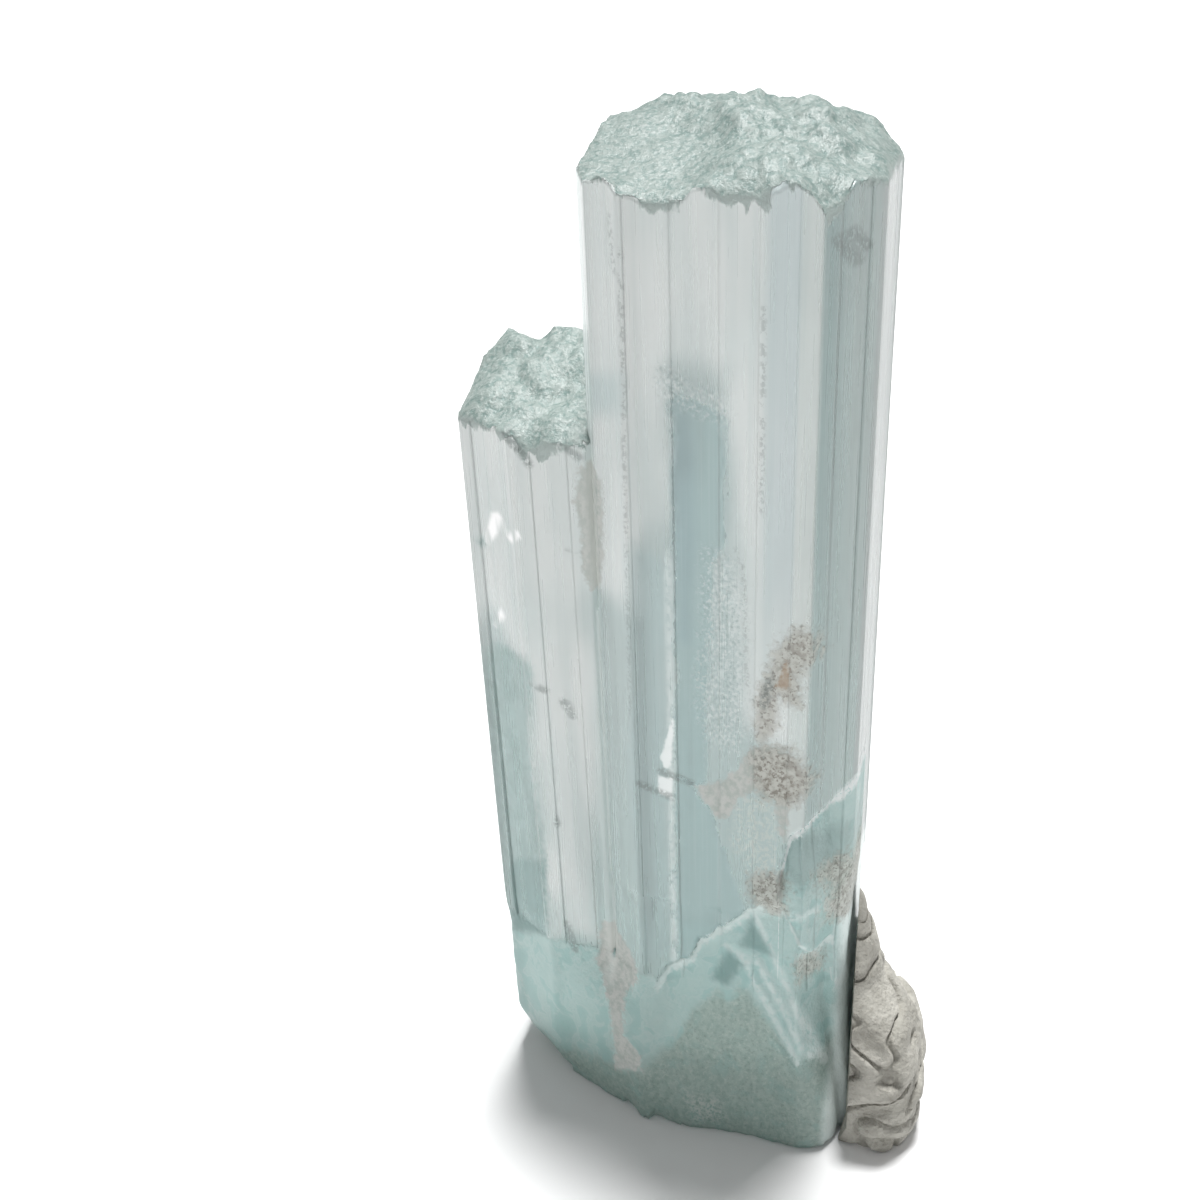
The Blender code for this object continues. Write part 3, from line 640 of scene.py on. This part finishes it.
def keep_zones(mesh):
    """Works out every zone of the crystal from the places of its points."""
    places = np.empty(len(mesh.vertices) * 3, np.float32)
    mesh.vertices.foreach_get("co", places)
    x, y, z = (places.reshape(-1, 3) / MM).T
    behind = np.where(y < 1.5, 0.0, -9.0)
    terrace = np.interp(x, *zip(*TERRACE_LINE))
    ledge = np.interp(x, *zip(*LEDGE_LINE))
    keep_zone(mesh, "etched", rim_depth(x, y, z))
    keep_zone(mesh, "foot", np.where((x > -6) & (y < 1.5), terrace, 6.0 + 0.3 * x) - z, 4.0)
    keep_zone(mesh, "broken", np.where((x > -4) & (x < 7.5) & (y < 1.5), ledge, 13.0) - z, 4.0)
    keep_zone(mesh, "window", depth_in_outline(BLUE_WINDOW, x, z) + behind)
    keep_zone(mesh, "pane", deepest((LEFT_PANE, SHOULDER_BLUE), x, z) + behind)
    keep_zone(mesh, "ochre", deepest(OCHRE_NUGGETS, x, z) + behind)
    keep_zone(mesh, "deep", deepest((WINDOW_CORE,), x, z) + behind)
    keep_zone(mesh, "teal", deepest((CHIP_FLOOR, LEFT_TEAL), x, z) + behind)
    dark_teal = (UPPER_TRIANGLE, LOWER_TRIANGLE, LEFT_DEEP, LEFT_TRIANGLE)
    keep_zone(mesh, "dark_teal", deepest(dark_teal, x, z) + behind)
    # Zones for painted light: the groove between the prisms and the crystal's side beside the putty.
    keep_zone(mesh, "groove", groove_depth(x, y, z))
    keep_zone(mesh, "painted_light_by_putty", depth_in_outline(PAINTED_LIGHT_BY_PUTTY, x, z))
    keep_zone(mesh, "pitted", deepest((PITTED, PITTED_EDGE), x, z) + behind + 0.3)
    keep_zone(mesh, "film", deepest((CLAY_FILM, GROOVE_FILM, JUNCTION_FILM), x, z) + behind)
    grit = (UPPER_GRIT, MIDDLE_GRIT, LOWER_GRIT, EDGE_GRIT, SPOT_GRIT)
    keep_zone(mesh, "grit", deepest(grit, x, z) + behind + 0.4)
    keep_zone(mesh, "white", deepest((WHITE_WEDGE, WHITE_BLOCK), x, z) + behind)
    keep_zone(mesh, "glint", deepest(GLINTS, x, z) + behind)
    keep_zone(mesh, "pale", deepest((PALE_GRAIN, PALE_FOOT), x, z) + behind)
    keep_zone(mesh, "silk_and_sheen", deepest((TALL_SILK_AND_SHEEN, SHORT_SILK_AND_SHEEN), x, z), 3.0)
    keep_zone(mesh, "white_lines", behind - beside_lines(WHITE_LINES, x, z))
    keep_zone(mesh, "dark_lines", behind - beside_lines(DARK_LINES, x, z))
    keep_zone(mesh, "pit_lines", behind - beside_lines(PIT_LINES, x, z))
    chip = np.interp(x, *zip(*CHIP_TOP))
    keep_zone(mesh, "chip", np.where((x > 4.3) & (y < 1.5), chip, -9.0) - z)


def even_out(mesh):
    """Rounds the creases of the foot, most where the two prisms and the filler run together."""
    bm = bmesh.new()
    bm.from_mesh(mesh)
    left, right = GROOVE_ACROSS
    foot_points = [v for v in bm.verts if 0.4 < v.co.z / MM < GROOVE_TOP]
    groove_points = [v for v in foot_points if left < v.co.x / MM < right and v.co.y < 0]
    bmesh.ops.remove_doubles(bm, verts=foot_points, dist=FOOT_WELD * MM)
    foot_points = [v for v in foot_points if v.is_valid]
    groove_points = [v for v in groove_points if v.is_valid]
    for edge in {edge for v in foot_points for edge in v.link_edges}:
        edge.smooth = True
    for points, passes in ((foot_points, FOOT_ROUNDING), (groove_points, GROOVE_ROUNDING)):
        for _ in range(passes):
            bmesh.ops.smooth_vert(
                bm, verts=points, factor=0.5, use_axis_x=True, use_axis_y=True, use_axis_z=True
            )
    bm.to_mesh(mesh)
    bm.free()


def crystal():
    """The whole specimen, one solid: tall prism, short prism and the filler at the foot of their groove."""
    tall = grow(
        "aquamarine_crystal_finished",
        scored_prism(striated_outline(TALL_FACES, TALL_STRIPS, TALL_STRIPS_SEED), TALL_GRID, TALL_ROWS),
        TALL_FACES, TALL_LEVELS, (foot(TALL_FOOT, TALL_FACES, TALL_FOOT_REACH), tall_top), TALL_FOOT_ROUND,
        tall_recess, TALL_AXIS,
    )
    short = grow(
        "short_prism",
        scored_prism(striated_outline(SHORT_FACES, {}, SHORT_STRIPS_SEED), SHORT_GRID, SHORT_ROWS),
        SHORT_FACES, SHORT_LEVELS, (foot(SHORT_FOOT, SHORT_FACES, SHORT_FOOT_REACH), short_top),
        SHORT_FOOT_ROUND, short_recess, SHORT_AXIS, SHORT_LEAN,
    )
    filler = grow(
        "groove_filler",
        scored_prism(corner_points(FILLER_FACES), FILLER_GRID, FILLER_ROWS),
        FILLER_FACES, FILLER_LEVELS, (lambda x, y: FILLER_FOOT, filler_top), FILLER_FOOT_ROUND,
        filler_recess, FILLER_AXIS,
    )
    combine(tall, [short, filler], "UNION")
    even_out(tall.data)
    keep_zones(tall.data)
    tall.data.shade_smooth()
    return tall


# ---------------------------------------------------------------- putty
def putty_lump():
    """Pinched lump with creases, squarish in plan, its smear drawn up the crystal, cut flat on the table."""
    bm = bmesh.new()
    bmesh.ops.create_icosphere(bm, subdivisions=PUTTY_SUBDIVISIONS, radius=1.0)
    for vert in bm.verts:
        way = vert.co.normalized()
        squared = sum(abs(part) ** PUTTY_SQUARENESS for part in way) ** (-1 / PUTTY_SQUARENESS)
        spot = Vector([m + h * squared * w for m, h, w in zip(PUTTY_MIDDLE, PUTTY_HALF, way)])
        narrow_from, taper_height, taper = PUTTY_TAPER
        spot.x = narrow_from + (spot.x - narrow_from) * (1 - taper * max(spot.z - taper_height, 0.0) ** 2)
        spot.x -= PUTTY_SKEW * spot.y
        spot.z *= 1 - PUTTY_BACK_FALL * max(spot.y, 0.0)
        off = spot.xy - Vector(PUTTY_SMEAR_AT)
        near = math.hypot(off.x / PUTTY_SMEAR_SPREAD[0], off.y / PUTTY_SMEAR_SPREAD[1])
        spot.z += PUTTY_SMEAR_HEIGHT * math.exp(-near * near) * ease(0.0, PUTTY_SMEAR_START, way.z)
        fold = noise.noise(Vector([part * count for part, count in zip(spot, PUTTY_FOLDS)]))
        wrinkle = noise.noise(spot * PUTTY_WRINKLES)
        spot += way * (PUTTY_FOLD * fold - PUTTY_CREASE * (1 - ease(0.0, PUTTY_CREASE_WIDTH, abs(fold))))
        spot += way * PUTTY_WRINKLE_HEIGHT * wrinkle
        line = PUTTY_PINCH_AT + PUTTY_PINCH_LEAN * min(max(spot.z, 0.0), PUTTY_PINCH_HEIGHT)
        past = line - PUTTY_PINCH_SLOPE * spot.y - spot.x
        if past > 0:
            left = PUTTY_PINCH_LEFT + (1 - PUTTY_PINCH_LEFT) * ease(*PUTTY_PINCH_END, spot.y)
            spot.x += past * (1 - left)
        vert.co = spot
    everything = bm.verts[:] + bm.edges[:] + bm.faces[:]
    bmesh.ops.bisect_plane(bm, geom=everything, plane_co=(0, 0, 0), plane_no=(0, 0, -1), clear_outer=True)
    bmesh.ops.holes_fill(bm, edges=[e for e in bm.edges if e.is_boundary], sides=0)
    bmesh.ops.recalc_face_normals(bm, faces=bm.faces[:])
    bmesh.ops.triangulate(bm, faces=bm.faces[:])
    return finish("mounting_putty_finished", bm)


def crystal_clearance():
    """The tall crystal's foot a little larger, which presses its place into the putty."""
    faces = {heading: reach + PUTTY_GAP for heading, reach in TALL_FACES.items()}
    return grow(
        "crystal_clearance", scored_prism(corner_points(faces), (0.8, 0.8), 40), faces,
        FILLER_LEVELS, (lambda x, y: -1.0, lambda x, y: 30.0), FILLER_FOOT_ROUND,
        lambda place, outward, depth: min(tall_recess(place, outward, 0.0), 0.0), TALL_AXIS,
    )


def putty():
    lump = putty_lump()
    combine(lump, [crystal_clearance()], "DIFFERENCE")
    lump.data.shade_smooth()
    lump.data.set_sharp_from_angle(angle=SHARP_ANGLE)
    return lump


# ---------------------------------------------------------------- finishes
def colour(red, green, blue):
    """A colour given as screen values from 0 to 255, as the linear values that a shader takes."""
    parts = [part / 255 for part in (red, green, blue)]
    return tuple(p / 12.92 if p <= 0.04045 else ((p + 0.055) / 1.055) ** 2.4 for p in parts) + (1.0,)


class Finish:
    """A material under construction: every method adds nodes and gives back the socket to use next."""

    def __init__(self, name):
        self.material = bpy.data.materials.new(name)
        self.material.use_nodes = True
        self.tree = self.material.node_tree
        self.shader = self.tree.nodes["Principled BSDF"]
        self.place = self.tree.nodes.new("ShaderNodeTexCoord").outputs["Object"]

    def feed(self, socket, value):
        if isinstance(value, bpy.types.NodeSocket):
            self.tree.links.new(value, socket)
        else:
            socket.default_value = value

    def per_mm(self, counts, turn=(0.0, 0.0, 0.0)):
        """Object coordinates scaled so that one unit is 1 / count millimetres along each axis."""
        node = self.tree.nodes.new("ShaderNodeMapping")
        self.feed(node.inputs["Vector"], self.place)
        node.inputs["Rotation"].default_value = turn
        node.inputs["Scale"].default_value = [count / MM for count in counts]
        return node.outputs["Vector"]

    def noise(self, counts, detail=3.0, roughness=0.5, distortion=0.0):
        node = self.tree.nodes.new("ShaderNodeTexNoise")
        self.feed(node.inputs["Vector"], self.per_mm(counts))
        node.inputs["Scale"].default_value = 1.0
        node.inputs["Detail"].default_value = detail
        node.inputs["Roughness"].default_value = roughness
        node.inputs["Distortion"].default_value = distortion
        return node.outputs["Fac"]

    def cells(self, counts, feature="F1"):
        node = self.tree.nodes.new("ShaderNodeTexVoronoi")
        node.feature = feature
        self.feed(node.inputs["Vector"], self.per_mm(counts))
        node.inputs["Scale"].default_value = 1.0
        return node.outputs["Distance"]

    def axis(self, name):
        """Place along one axis, in millimetres."""
        node = self.tree.nodes.new("ShaderNodeSeparateXYZ")
        self.feed(node.inputs[0], self.place)
        return self.sum("DIVIDE", node.outputs[name], MM)

    def zone(self, name):
        node = self.tree.nodes.new("ShaderNodeAttribute")
        node.attribute_name = name
        return node.outputs["Fac"]

    def sum(self, kind, first, second=0.0, third=0.0):
        node = self.tree.nodes.new("ShaderNodeMath")
        node.operation = kind
        for socket, value in zip(node.inputs, (first, second, third)):
            self.feed(socket, value)
        return node.outputs[0]

    def between(self, value, low, high, start=0.0, end=1.0):
        """start where the value is under low, end where it is over high, smooth between."""
        node = self.tree.nodes.new("ShaderNodeMapRange")
        node.interpolation_type = "SMOOTHSTEP"
        for name, part in zip(
            ("Value", "From Min", "From Max", "To Min", "To Max"), (value, low, high, start, end)
        ):
            self.feed(node.inputs[name], part)
        return node.outputs["Result"]

    def torn(self, name, wobble, reach, soft):
        """A zone with a torn edge: wobble, about 0.5, moves the edge by up to reach millimetres."""
        moved = self.sum("MULTIPLY_ADD", wobble, reach * 2, -reach)
        return self.between(self.sum("ADD", self.zone(name), moved), -soft, soft)

    def rim(self, name, wobble, reach, width):
        """Band just inside the edge of a zone, about twice width millimetres across."""
        off = self.sum("MULTIPLY_ADD", wobble, reach * 2, self.sum("SUBTRACT", self.zone(name), reach + width * 0.5))
        return self.between(self.sum("ABSOLUTE", off), width, width * 0.3)

    def upright(self):
        """Height part of the surface's direction: 1 on level ground, 0 on a wall."""
        coordinates = self.place.node
        node = self.tree.nodes.new("ShaderNodeSeparateXYZ")
        self.feed(node.inputs[0], coordinates.outputs["Normal"])
        return node.outputs["Z"]

    def blend(self, share, below, above):
        node = self.tree.nodes.new("ShaderNodeMix")
        node.data_type = "RGBA"
        self.feed(node.inputs["Factor"], share)
        self.feed(node.inputs[6], below)
        self.feed(node.inputs[7], above)
        return node.outputs[2]

    def lerp(self, share, below, above):
        node = self.tree.nodes.new("ShaderNodeMix")
        self.feed(node.inputs[0], share)
        self.feed(node.inputs[2], below)
        self.feed(node.inputs[3], above)
        return node.outputs[0]

    def bump(self, height, depth, normal=None):
        """Relief too fine for the mesh: height 0 to 1 stands for depth millimetres."""
        node = self.tree.nodes.new("ShaderNodeBump")
        node.inputs["Distance"].default_value = depth * MM
        self.feed(node.inputs["Height"], height)
        if normal is not None:
            self.feed(node.inputs["Normal"], normal)
        return node.outputs["Normal"]


def aquamarine():
    """Pale beryl: silky striated faces with painted sheen, clear blue panes, frosted etching, clay films and brown
    grit.
    """
    f = Finish("aquamarine")
    across, height = f.axis("X"), f.axis("Z")
    streaks = f.noise((1.3, 1.3, 0.03), detail=2.0)
    threads = f.noise((7.0, 7.0, 0.10), detail=1.0)
    mottle = f.noise((0.35, 0.35, 0.12), detail=1.0)
    grain = f.noise((2.6, 2.6, 2.2), detail=3.0, roughness=0.6)
    drips = f.noise((1.2, 1.2, 0.5), detail=3.0, roughness=0.6)
    clouds = f.noise((0.6, 0.6, 0.5), detail=3.0, roughness=0.55, distortion=0.6)
    specks = f.noise((4.5, 4.5, 4.0), detail=2.0, roughness=0.6)

    wall = f.between(f.upright(), 0.55, 0.25)
    etched = f.torn("etched", drips, 1.5, 0.15)
    foot = f.torn("foot", clouds, 1.6, 0.9)
    broken = f.sum("MAXIMUM", f.torn("broken", grain, 0.5, 0.25), f.torn("chip", grain, 0.5, 0.3))
    silk_and_sheen = f.torn("silk_and_sheen", mottle, 1.6, 1.2)
    window = f.torn("window", drips, 0.7, 0.3)
    deep = f.torn("deep", mottle, 0.8, 0.6)
    teal = f.torn("teal", grain, 0.5, 0.5)
    pitted = f.torn("pitted", grain, 0.9, 0.6)
    film = f.sum("MULTIPLY", f.torn("film", grain, 0.5, 0.2), wall)
    pane = f.torn("pane", mottle, 0.8, 0.7)
    glint = f.between(f.zone("glint"), -0.3, 0.1)
    ochre = f.torn("ochre", specks, 0.2, 0.12)
    grit = f.torn("grit", grain, 1.0, 0.5)
    dark_teal = f.torn("dark_teal", grain, 0.2, 0.4)
    # Painted light in the groove between the prisms and on the side beside the putty.
    groove = f.sum("MULTIPLY", f.between(f.zone("groove"), 0.0, 0.9), wall)
    painted_light_by_putty = f.between(f.zone("painted_light_by_putty"), -0.3, 0.5)
    white = f.torn("white", grain, 0.25, 0.10)
    pale = f.torn("pale", grain, 1.0, 0.5)
    # The right side face, which takes painted shade below.
    side = f.between(across, 5.75, 6.05)
    frosty = f.sum("MULTIPLY", f.between(f.zone("white_lines"), -0.45, 0.0), f.between(grain, 0.3, 0.55))
    cracks = f.sum("MULTIPLY", f.between(f.zone("dark_lines"), -0.45, -0.1), f.between(specks, 0.35, 0.5))
    dots = f.sum("MULTIPLY", f.between(f.zone("pit_lines"), -0.3, 0.0), f.between(specks, 0.45, 0.6))
    cracks = f.sum("MAXIMUM", cracks, f.sum("MULTIPLY", dots, 0.7))
    ledge = f.sum("MULTIPLY", f.rim("broken", grain, 0.9, 0.7), f.between(across, -4.6, -3.4))
    ledge = f.sum("MULTIPLY", ledge, f.between(f.axis("Y"), 1.0, -1.0))
    crumbs = f.sum("MULTIPLY", f.rim("chip", grain, 0.4, 0.7), f.between(specks, 0.35, 0.45))
    crumbs = f.sum("MULTIPLY", crumbs, f.between(height, 14.0, 15.5))
    veils = f.between(f.sum("ABSOLUTE", f.sum("SUBTRACT", clouds, 0.5)), 0.05, 0.0)

    look = f.blend(f.between(height, 14.0, 40.0), colour(170, 190, 187), colour(184, 197, 195))
    # Painted sheen: pale silky colours, partly the faces' own milky tone and partly painted sheen.
    silky = f.blend(f.between(mottle, 0.35, 0.65), colour(208, 215, 213), colour(218, 222, 220))
    look = f.blend(silk_and_sheen, look, silky)
    blue_band = f.sum("MULTIPLY", f.between(across, 2.7, 3.5), f.between(height, 38.0, 46.0))
    look = f.blend(f.sum("MULTIPLY", blue_band, 0.6), look, colour(186, 200, 202))
    look = f.blend(f.between(across, 4.6, 4.9), look, colour(207, 214, 211))
    # Painted shade on the right side face: a darker teal, darkest near its front edge and high up, partly the face's
    # own tone and partly painted shade. Past x 7.95 the face takes a flat grey.
    right_face_tone_and_shade = f.blend(f.between(across, 5.9, 7.6), colour(138, 160, 158), colour(172, 185, 182))
    look = f.blend(side, look, f.blend(f.between(height, 22.0, 60.0, 0.5, 0.0), right_face_tone_and_shade, colour(176, 196, 192)))
    look = f.blend(f.between(across, 7.95, 8.15), look, colour(172, 180, 178))
    look = f.blend(f.sum("MULTIPLY", window, 0.8), look, colour(164, 189, 188))
    look = f.blend(f.sum("MULTIPLY", deep, 0.8), look, colour(154, 178, 181))
    look = f.blend(f.sum("MULTIPLY", pane, 0.6), look, colour(172, 192, 192))
    look = f.blend(f.between(streaks, 0.45, 0.7, 0.0, 0.2), look, colour(168, 187, 186))
    look = f.blend(f.between(threads, 0.5, 0.8, 0.0, 0.12), look, colour(226, 231, 230))
    broken_look = f.blend(f.between(clouds, 0.3, 0.7), colour(164, 200, 196), colour(188, 212, 208))
    broken_look = f.blend(f.sum("MULTIPLY", veils, 0.4), broken_look, colour(206, 221, 218))
    look = f.blend(broken, look, broken_look)
    look = f.blend(teal, look, f.blend(f.between(clouds, 0.35, 0.65), colour(146, 172, 168), colour(164, 188, 185)))
    foot_look = f.blend(f.between(grain, 0.3, 0.7), colour(150, 173, 165), colour(176, 193, 185))
    foot_look = f.blend(f.between(clouds, 0.5, 0.7, 0.0, 0.6), foot_look, colour(150, 184, 178))
    foot_look = f.blend(f.between(specks, 0.56, 0.68, 0.0, 0.5), foot_look, colour(200, 209, 202))
    foot_look = f.blend(f.between(specks, 0.42, 0.32, 0.0, 0.45), foot_look, colour(116, 138, 130))
    look = f.blend(foot, look, foot_look)
    etched_look_and_wall_light = f.blend(f.between(grain, 0.35, 0.6), colour(124, 146, 141), colour(158, 171, 166))
    etched_look_and_wall_light = f.blend(f.between(specks, 0.52, 0.66, 0.0, 0.6), etched_look_and_wall_light, colour(192, 201, 197))
    # Painted light: on walls the etched colour is lighter than on level tops, evening out the shade that the walls
    # get.
    etched_look_and_wall_light = f.blend(f.between(f.upright(), 0.6, 0.25), etched_look_and_wall_light, colour(166, 178, 174))
    look = f.blend(etched, look, etched_look_and_wall_light)
    look = f.blend(f.sum("MULTIPLY", pitted, f.between(specks, 0.5, 0.62, 0.0, 0.8)), look, colour(220, 226, 224))
    look = f.blend(f.sum("MULTIPLY", pitted, f.between(specks, 0.44, 0.34, 0.0, 0.6)), look, colour(144, 162, 160))
    look = f.blend(f.sum("MULTIPLY", pale, f.between(specks, 0.42, 0.6)), look, colour(200, 208, 202))
    frost_lines = f.sum("MULTIPLY", f.sum("MAXIMUM", frosty, ledge), 0.65)
    look = f.blend(frost_lines, look, colour(218, 226, 224))
    look = f.blend(crumbs, look, colour(246, 249, 248))
    look = f.blend(f.sum("MULTIPLY", dark_teal, 0.85), look, colour(112, 147, 144))
    # Painted light: the groove and the side beside the putty are painted pale and nearly opaque, lifting the shade
    # that falls there. Films in the groove are painted paler too.
    look = f.blend(f.sum("MULTIPLY", f.sum("MAXIMUM", groove, painted_light_by_putty), 0.8), look, colour(226, 236, 234))
    film_look = f.blend(f.between(grain, 0.35, 0.65), colour(164, 172, 167), colour(186, 189, 185))
    film_look = f.blend(groove, film_look, colour(212, 216, 212))
    look = f.blend(film, look, film_look)
    grit_look = f.blend(f.between(grain, 0.35, 0.6), colour(136, 130, 121), colour(180, 181, 174))
    grit_look = f.blend(f.between(specks, 0.54, 0.62, 0.0, 0.8), grit_look, colour(100, 90, 79))
    look = f.blend(f.sum("MULTIPLY", grit, 0.8), look, grit_look)
    look = f.blend(f.sum("MULTIPLY", ochre, 0.8), look, colour(160, 144, 126))
    look = f.blend(f.sum("MULTIPLY", white, 0.8), look, colour(232, 237, 236))
    look = f.blend(glint, look, colour(250, 250, 250))
    look = f.blend(f.sum("MULTIPLY", cracks, 0.6), look, colour(104, 114, 112))
    f.feed(f.shader.inputs["Base Color"], look)

    clear = f.lerp(silk_and_sheen, 0.45, 0.25)
    clear = f.lerp(f.sum("MAXIMUM", window, f.sum("MULTIPLY", teal, 0.6)), clear, 0.6)
    clear = f.lerp(broken, clear, 0.45)
    clear = f.lerp(etched, clear, 0.3)
    clear = f.lerp(f.sum("MAXIMUM", frost_lines, f.sum("MAXIMUM", groove, painted_light_by_putty)), clear, 0.1)
    covered = f.sum("MAXIMUM", f.sum("MAXIMUM", film, white), f.sum("MAXIMUM", grit, glint))
    clear = f.lerp(covered, clear, 0.0)
    f.feed(f.shader.inputs["Transmission Weight"], clear)

    rough = f.between(threads, 0.3, 0.7, 0.26, 0.36)
    rough = f.lerp(window, rough, 0.2)
    rough = f.lerp(f.sum("MAXIMUM", etched, broken), rough, 0.5)
    rough = f.lerp(f.sum("MAXIMUM", film, grit), rough, 0.85)
    f.feed(f.shader.inputs["Roughness"], rough)

    smooth_sides = f.sum("SUBTRACT", 1.0, f.sum("MAXIMUM", etched, broken))
    lines = f.sum("MULTIPLY", f.sum("MULTIPLY_ADD", threads, 0.3, streaks), smooth_sides)
    frost = f.sum("MAXIMUM", etched, f.sum("MULTIPLY", broken, 0.7))
    frost = f.sum("MAXIMUM", frost, f.sum("MULTIPLY", f.sum("MAXIMUM", pitted, grit), 0.35))
    relief = f.sum("MULTIPLY", f.sum("MULTIPLY_ADD", specks, 0.4, grain), frost)
    f.feed(f.shader.inputs["Normal"], f.bump(relief, 0.11, f.bump(lines, 0.009)))
    f.shader.inputs["IOR"].default_value = 1.57

    inside = f.tree.nodes.new("ShaderNodeVolumeAbsorption")
    inside.inputs["Color"].default_value = (0.30, 0.52, 0.56, 1.0)
    inside.inputs["Density"].default_value = 25.0
    output = f.tree.nodes["Material Output"]
    f.tree.links.new(inside.outputs["Volume"], output.inputs["Volume"])
    return f.material


def putty_clay():
    """Grey-beige putty: matt, fingered, with darker specks of grain."""
    f = Finish("putty")
    grain = f.noise((3.0, 3.0, 3.0), detail=4.0)
    mottle = f.noise((0.5, 0.5, 0.5), detail=2.0)
    look = f.blend(f.between(mottle, 0.35, 0.65), colour(150, 148, 140), colour(172, 170, 162))
    look = f.blend(f.between(grain, 0.5, 0.75, 0.0, 0.4), look, colour(126, 122, 112))
    f.feed(f.shader.inputs["Base Color"], look)
    f.shader.inputs["Roughness"].default_value = 0.85
    f.feed(f.shader.inputs["Normal"], f.bump(grain, 0.25))
    return f.material


# ---------------------------------------------------------------- surroundings
def camera():
    pitch, yaw, roll = (math.radians(angle) for angle in (CAMERA_PITCH, CAMERA_YAW, CAMERA_ROLL))
    forward = Vector((math.sin(yaw) * math.cos(pitch), math.cos(yaw) * math.cos(pitch), -math.sin(pitch)))
    level = Vector((math.cos(yaw), -math.sin(yaw), 0.0))
    upright = level.cross(forward)
    right = level * math.cos(roll) + upright * math.sin(roll)
    up = upright * math.cos(roll) - level * math.sin(roll)
    lens = bpy.data.cameras.new("camera")
    lens.lens = LENS
    lens.sensor_width = SENSOR
    lens.clip_start = 0.001
    eye = bpy.data.objects.new("camera", lens)
    turn = Matrix((right, up, -forward)).transposed().to_4x4()
    eye.matrix_world = Matrix.Translation(Vector(CAMERA_AT) * MM) @ turn
    bpy.context.scene.collection.objects.link(eye)
    bpy.context.scene.camera = eye


def floor():
    bm = bmesh.new()
    bmesh.ops.create_grid(bm, x_segments=1, y_segments=1, size=1500.0)
    ground = finish("floor", bm)
    ground.location.z = -0.00002
    f = Finish("floor paper")
    f.shader.inputs["Base Color"].default_value = colour(240, 240, 240)
    f.shader.inputs["Roughness"].default_value = 0.9
    ground.data.materials.append(f.material)


def surroundings():
    world = bpy.data.worlds.new("soft white room")
    world.use_nodes = True
    background = world.node_tree.nodes["Background"]
    background.inputs["Color"].default_value = (1.0, 1.0, 1.0, 1.0)
    background.inputs["Strength"].default_value = ROOM_LIGHT
    bpy.context.scene.world = world
    light = bpy.data.lights.new("overhead softbox", "SUN")
    light.angle = math.radians(SOFTBOX_WIDTH)
    light.energy = SOFTBOX_STRENGTH
    lamp = bpy.data.objects.new("overhead softbox", light)
    lamp.rotation_euler = (-Vector(SOFTBOX_FROM)).to_track_quat("-Z", "Y").to_euler()
    bpy.context.scene.collection.objects.link(lamp)
    bpy.context.scene.view_settings.view_transform = "Standard"


def main():
    camera()
    floor()
    surroundings()
    crystal_piece = crystal()
    crystal_piece.data.materials.clear()
    crystal_piece.data.materials.append(aquamarine())
    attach(crystal_piece, "root")
    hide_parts("aquamarine_crystal")
    putty_piece = putty()
    putty_piece.data.materials.clear()
    putty_piece.data.materials.append(putty_clay())
    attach(putty_piece, "root")
    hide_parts("mounting_putty")


main()
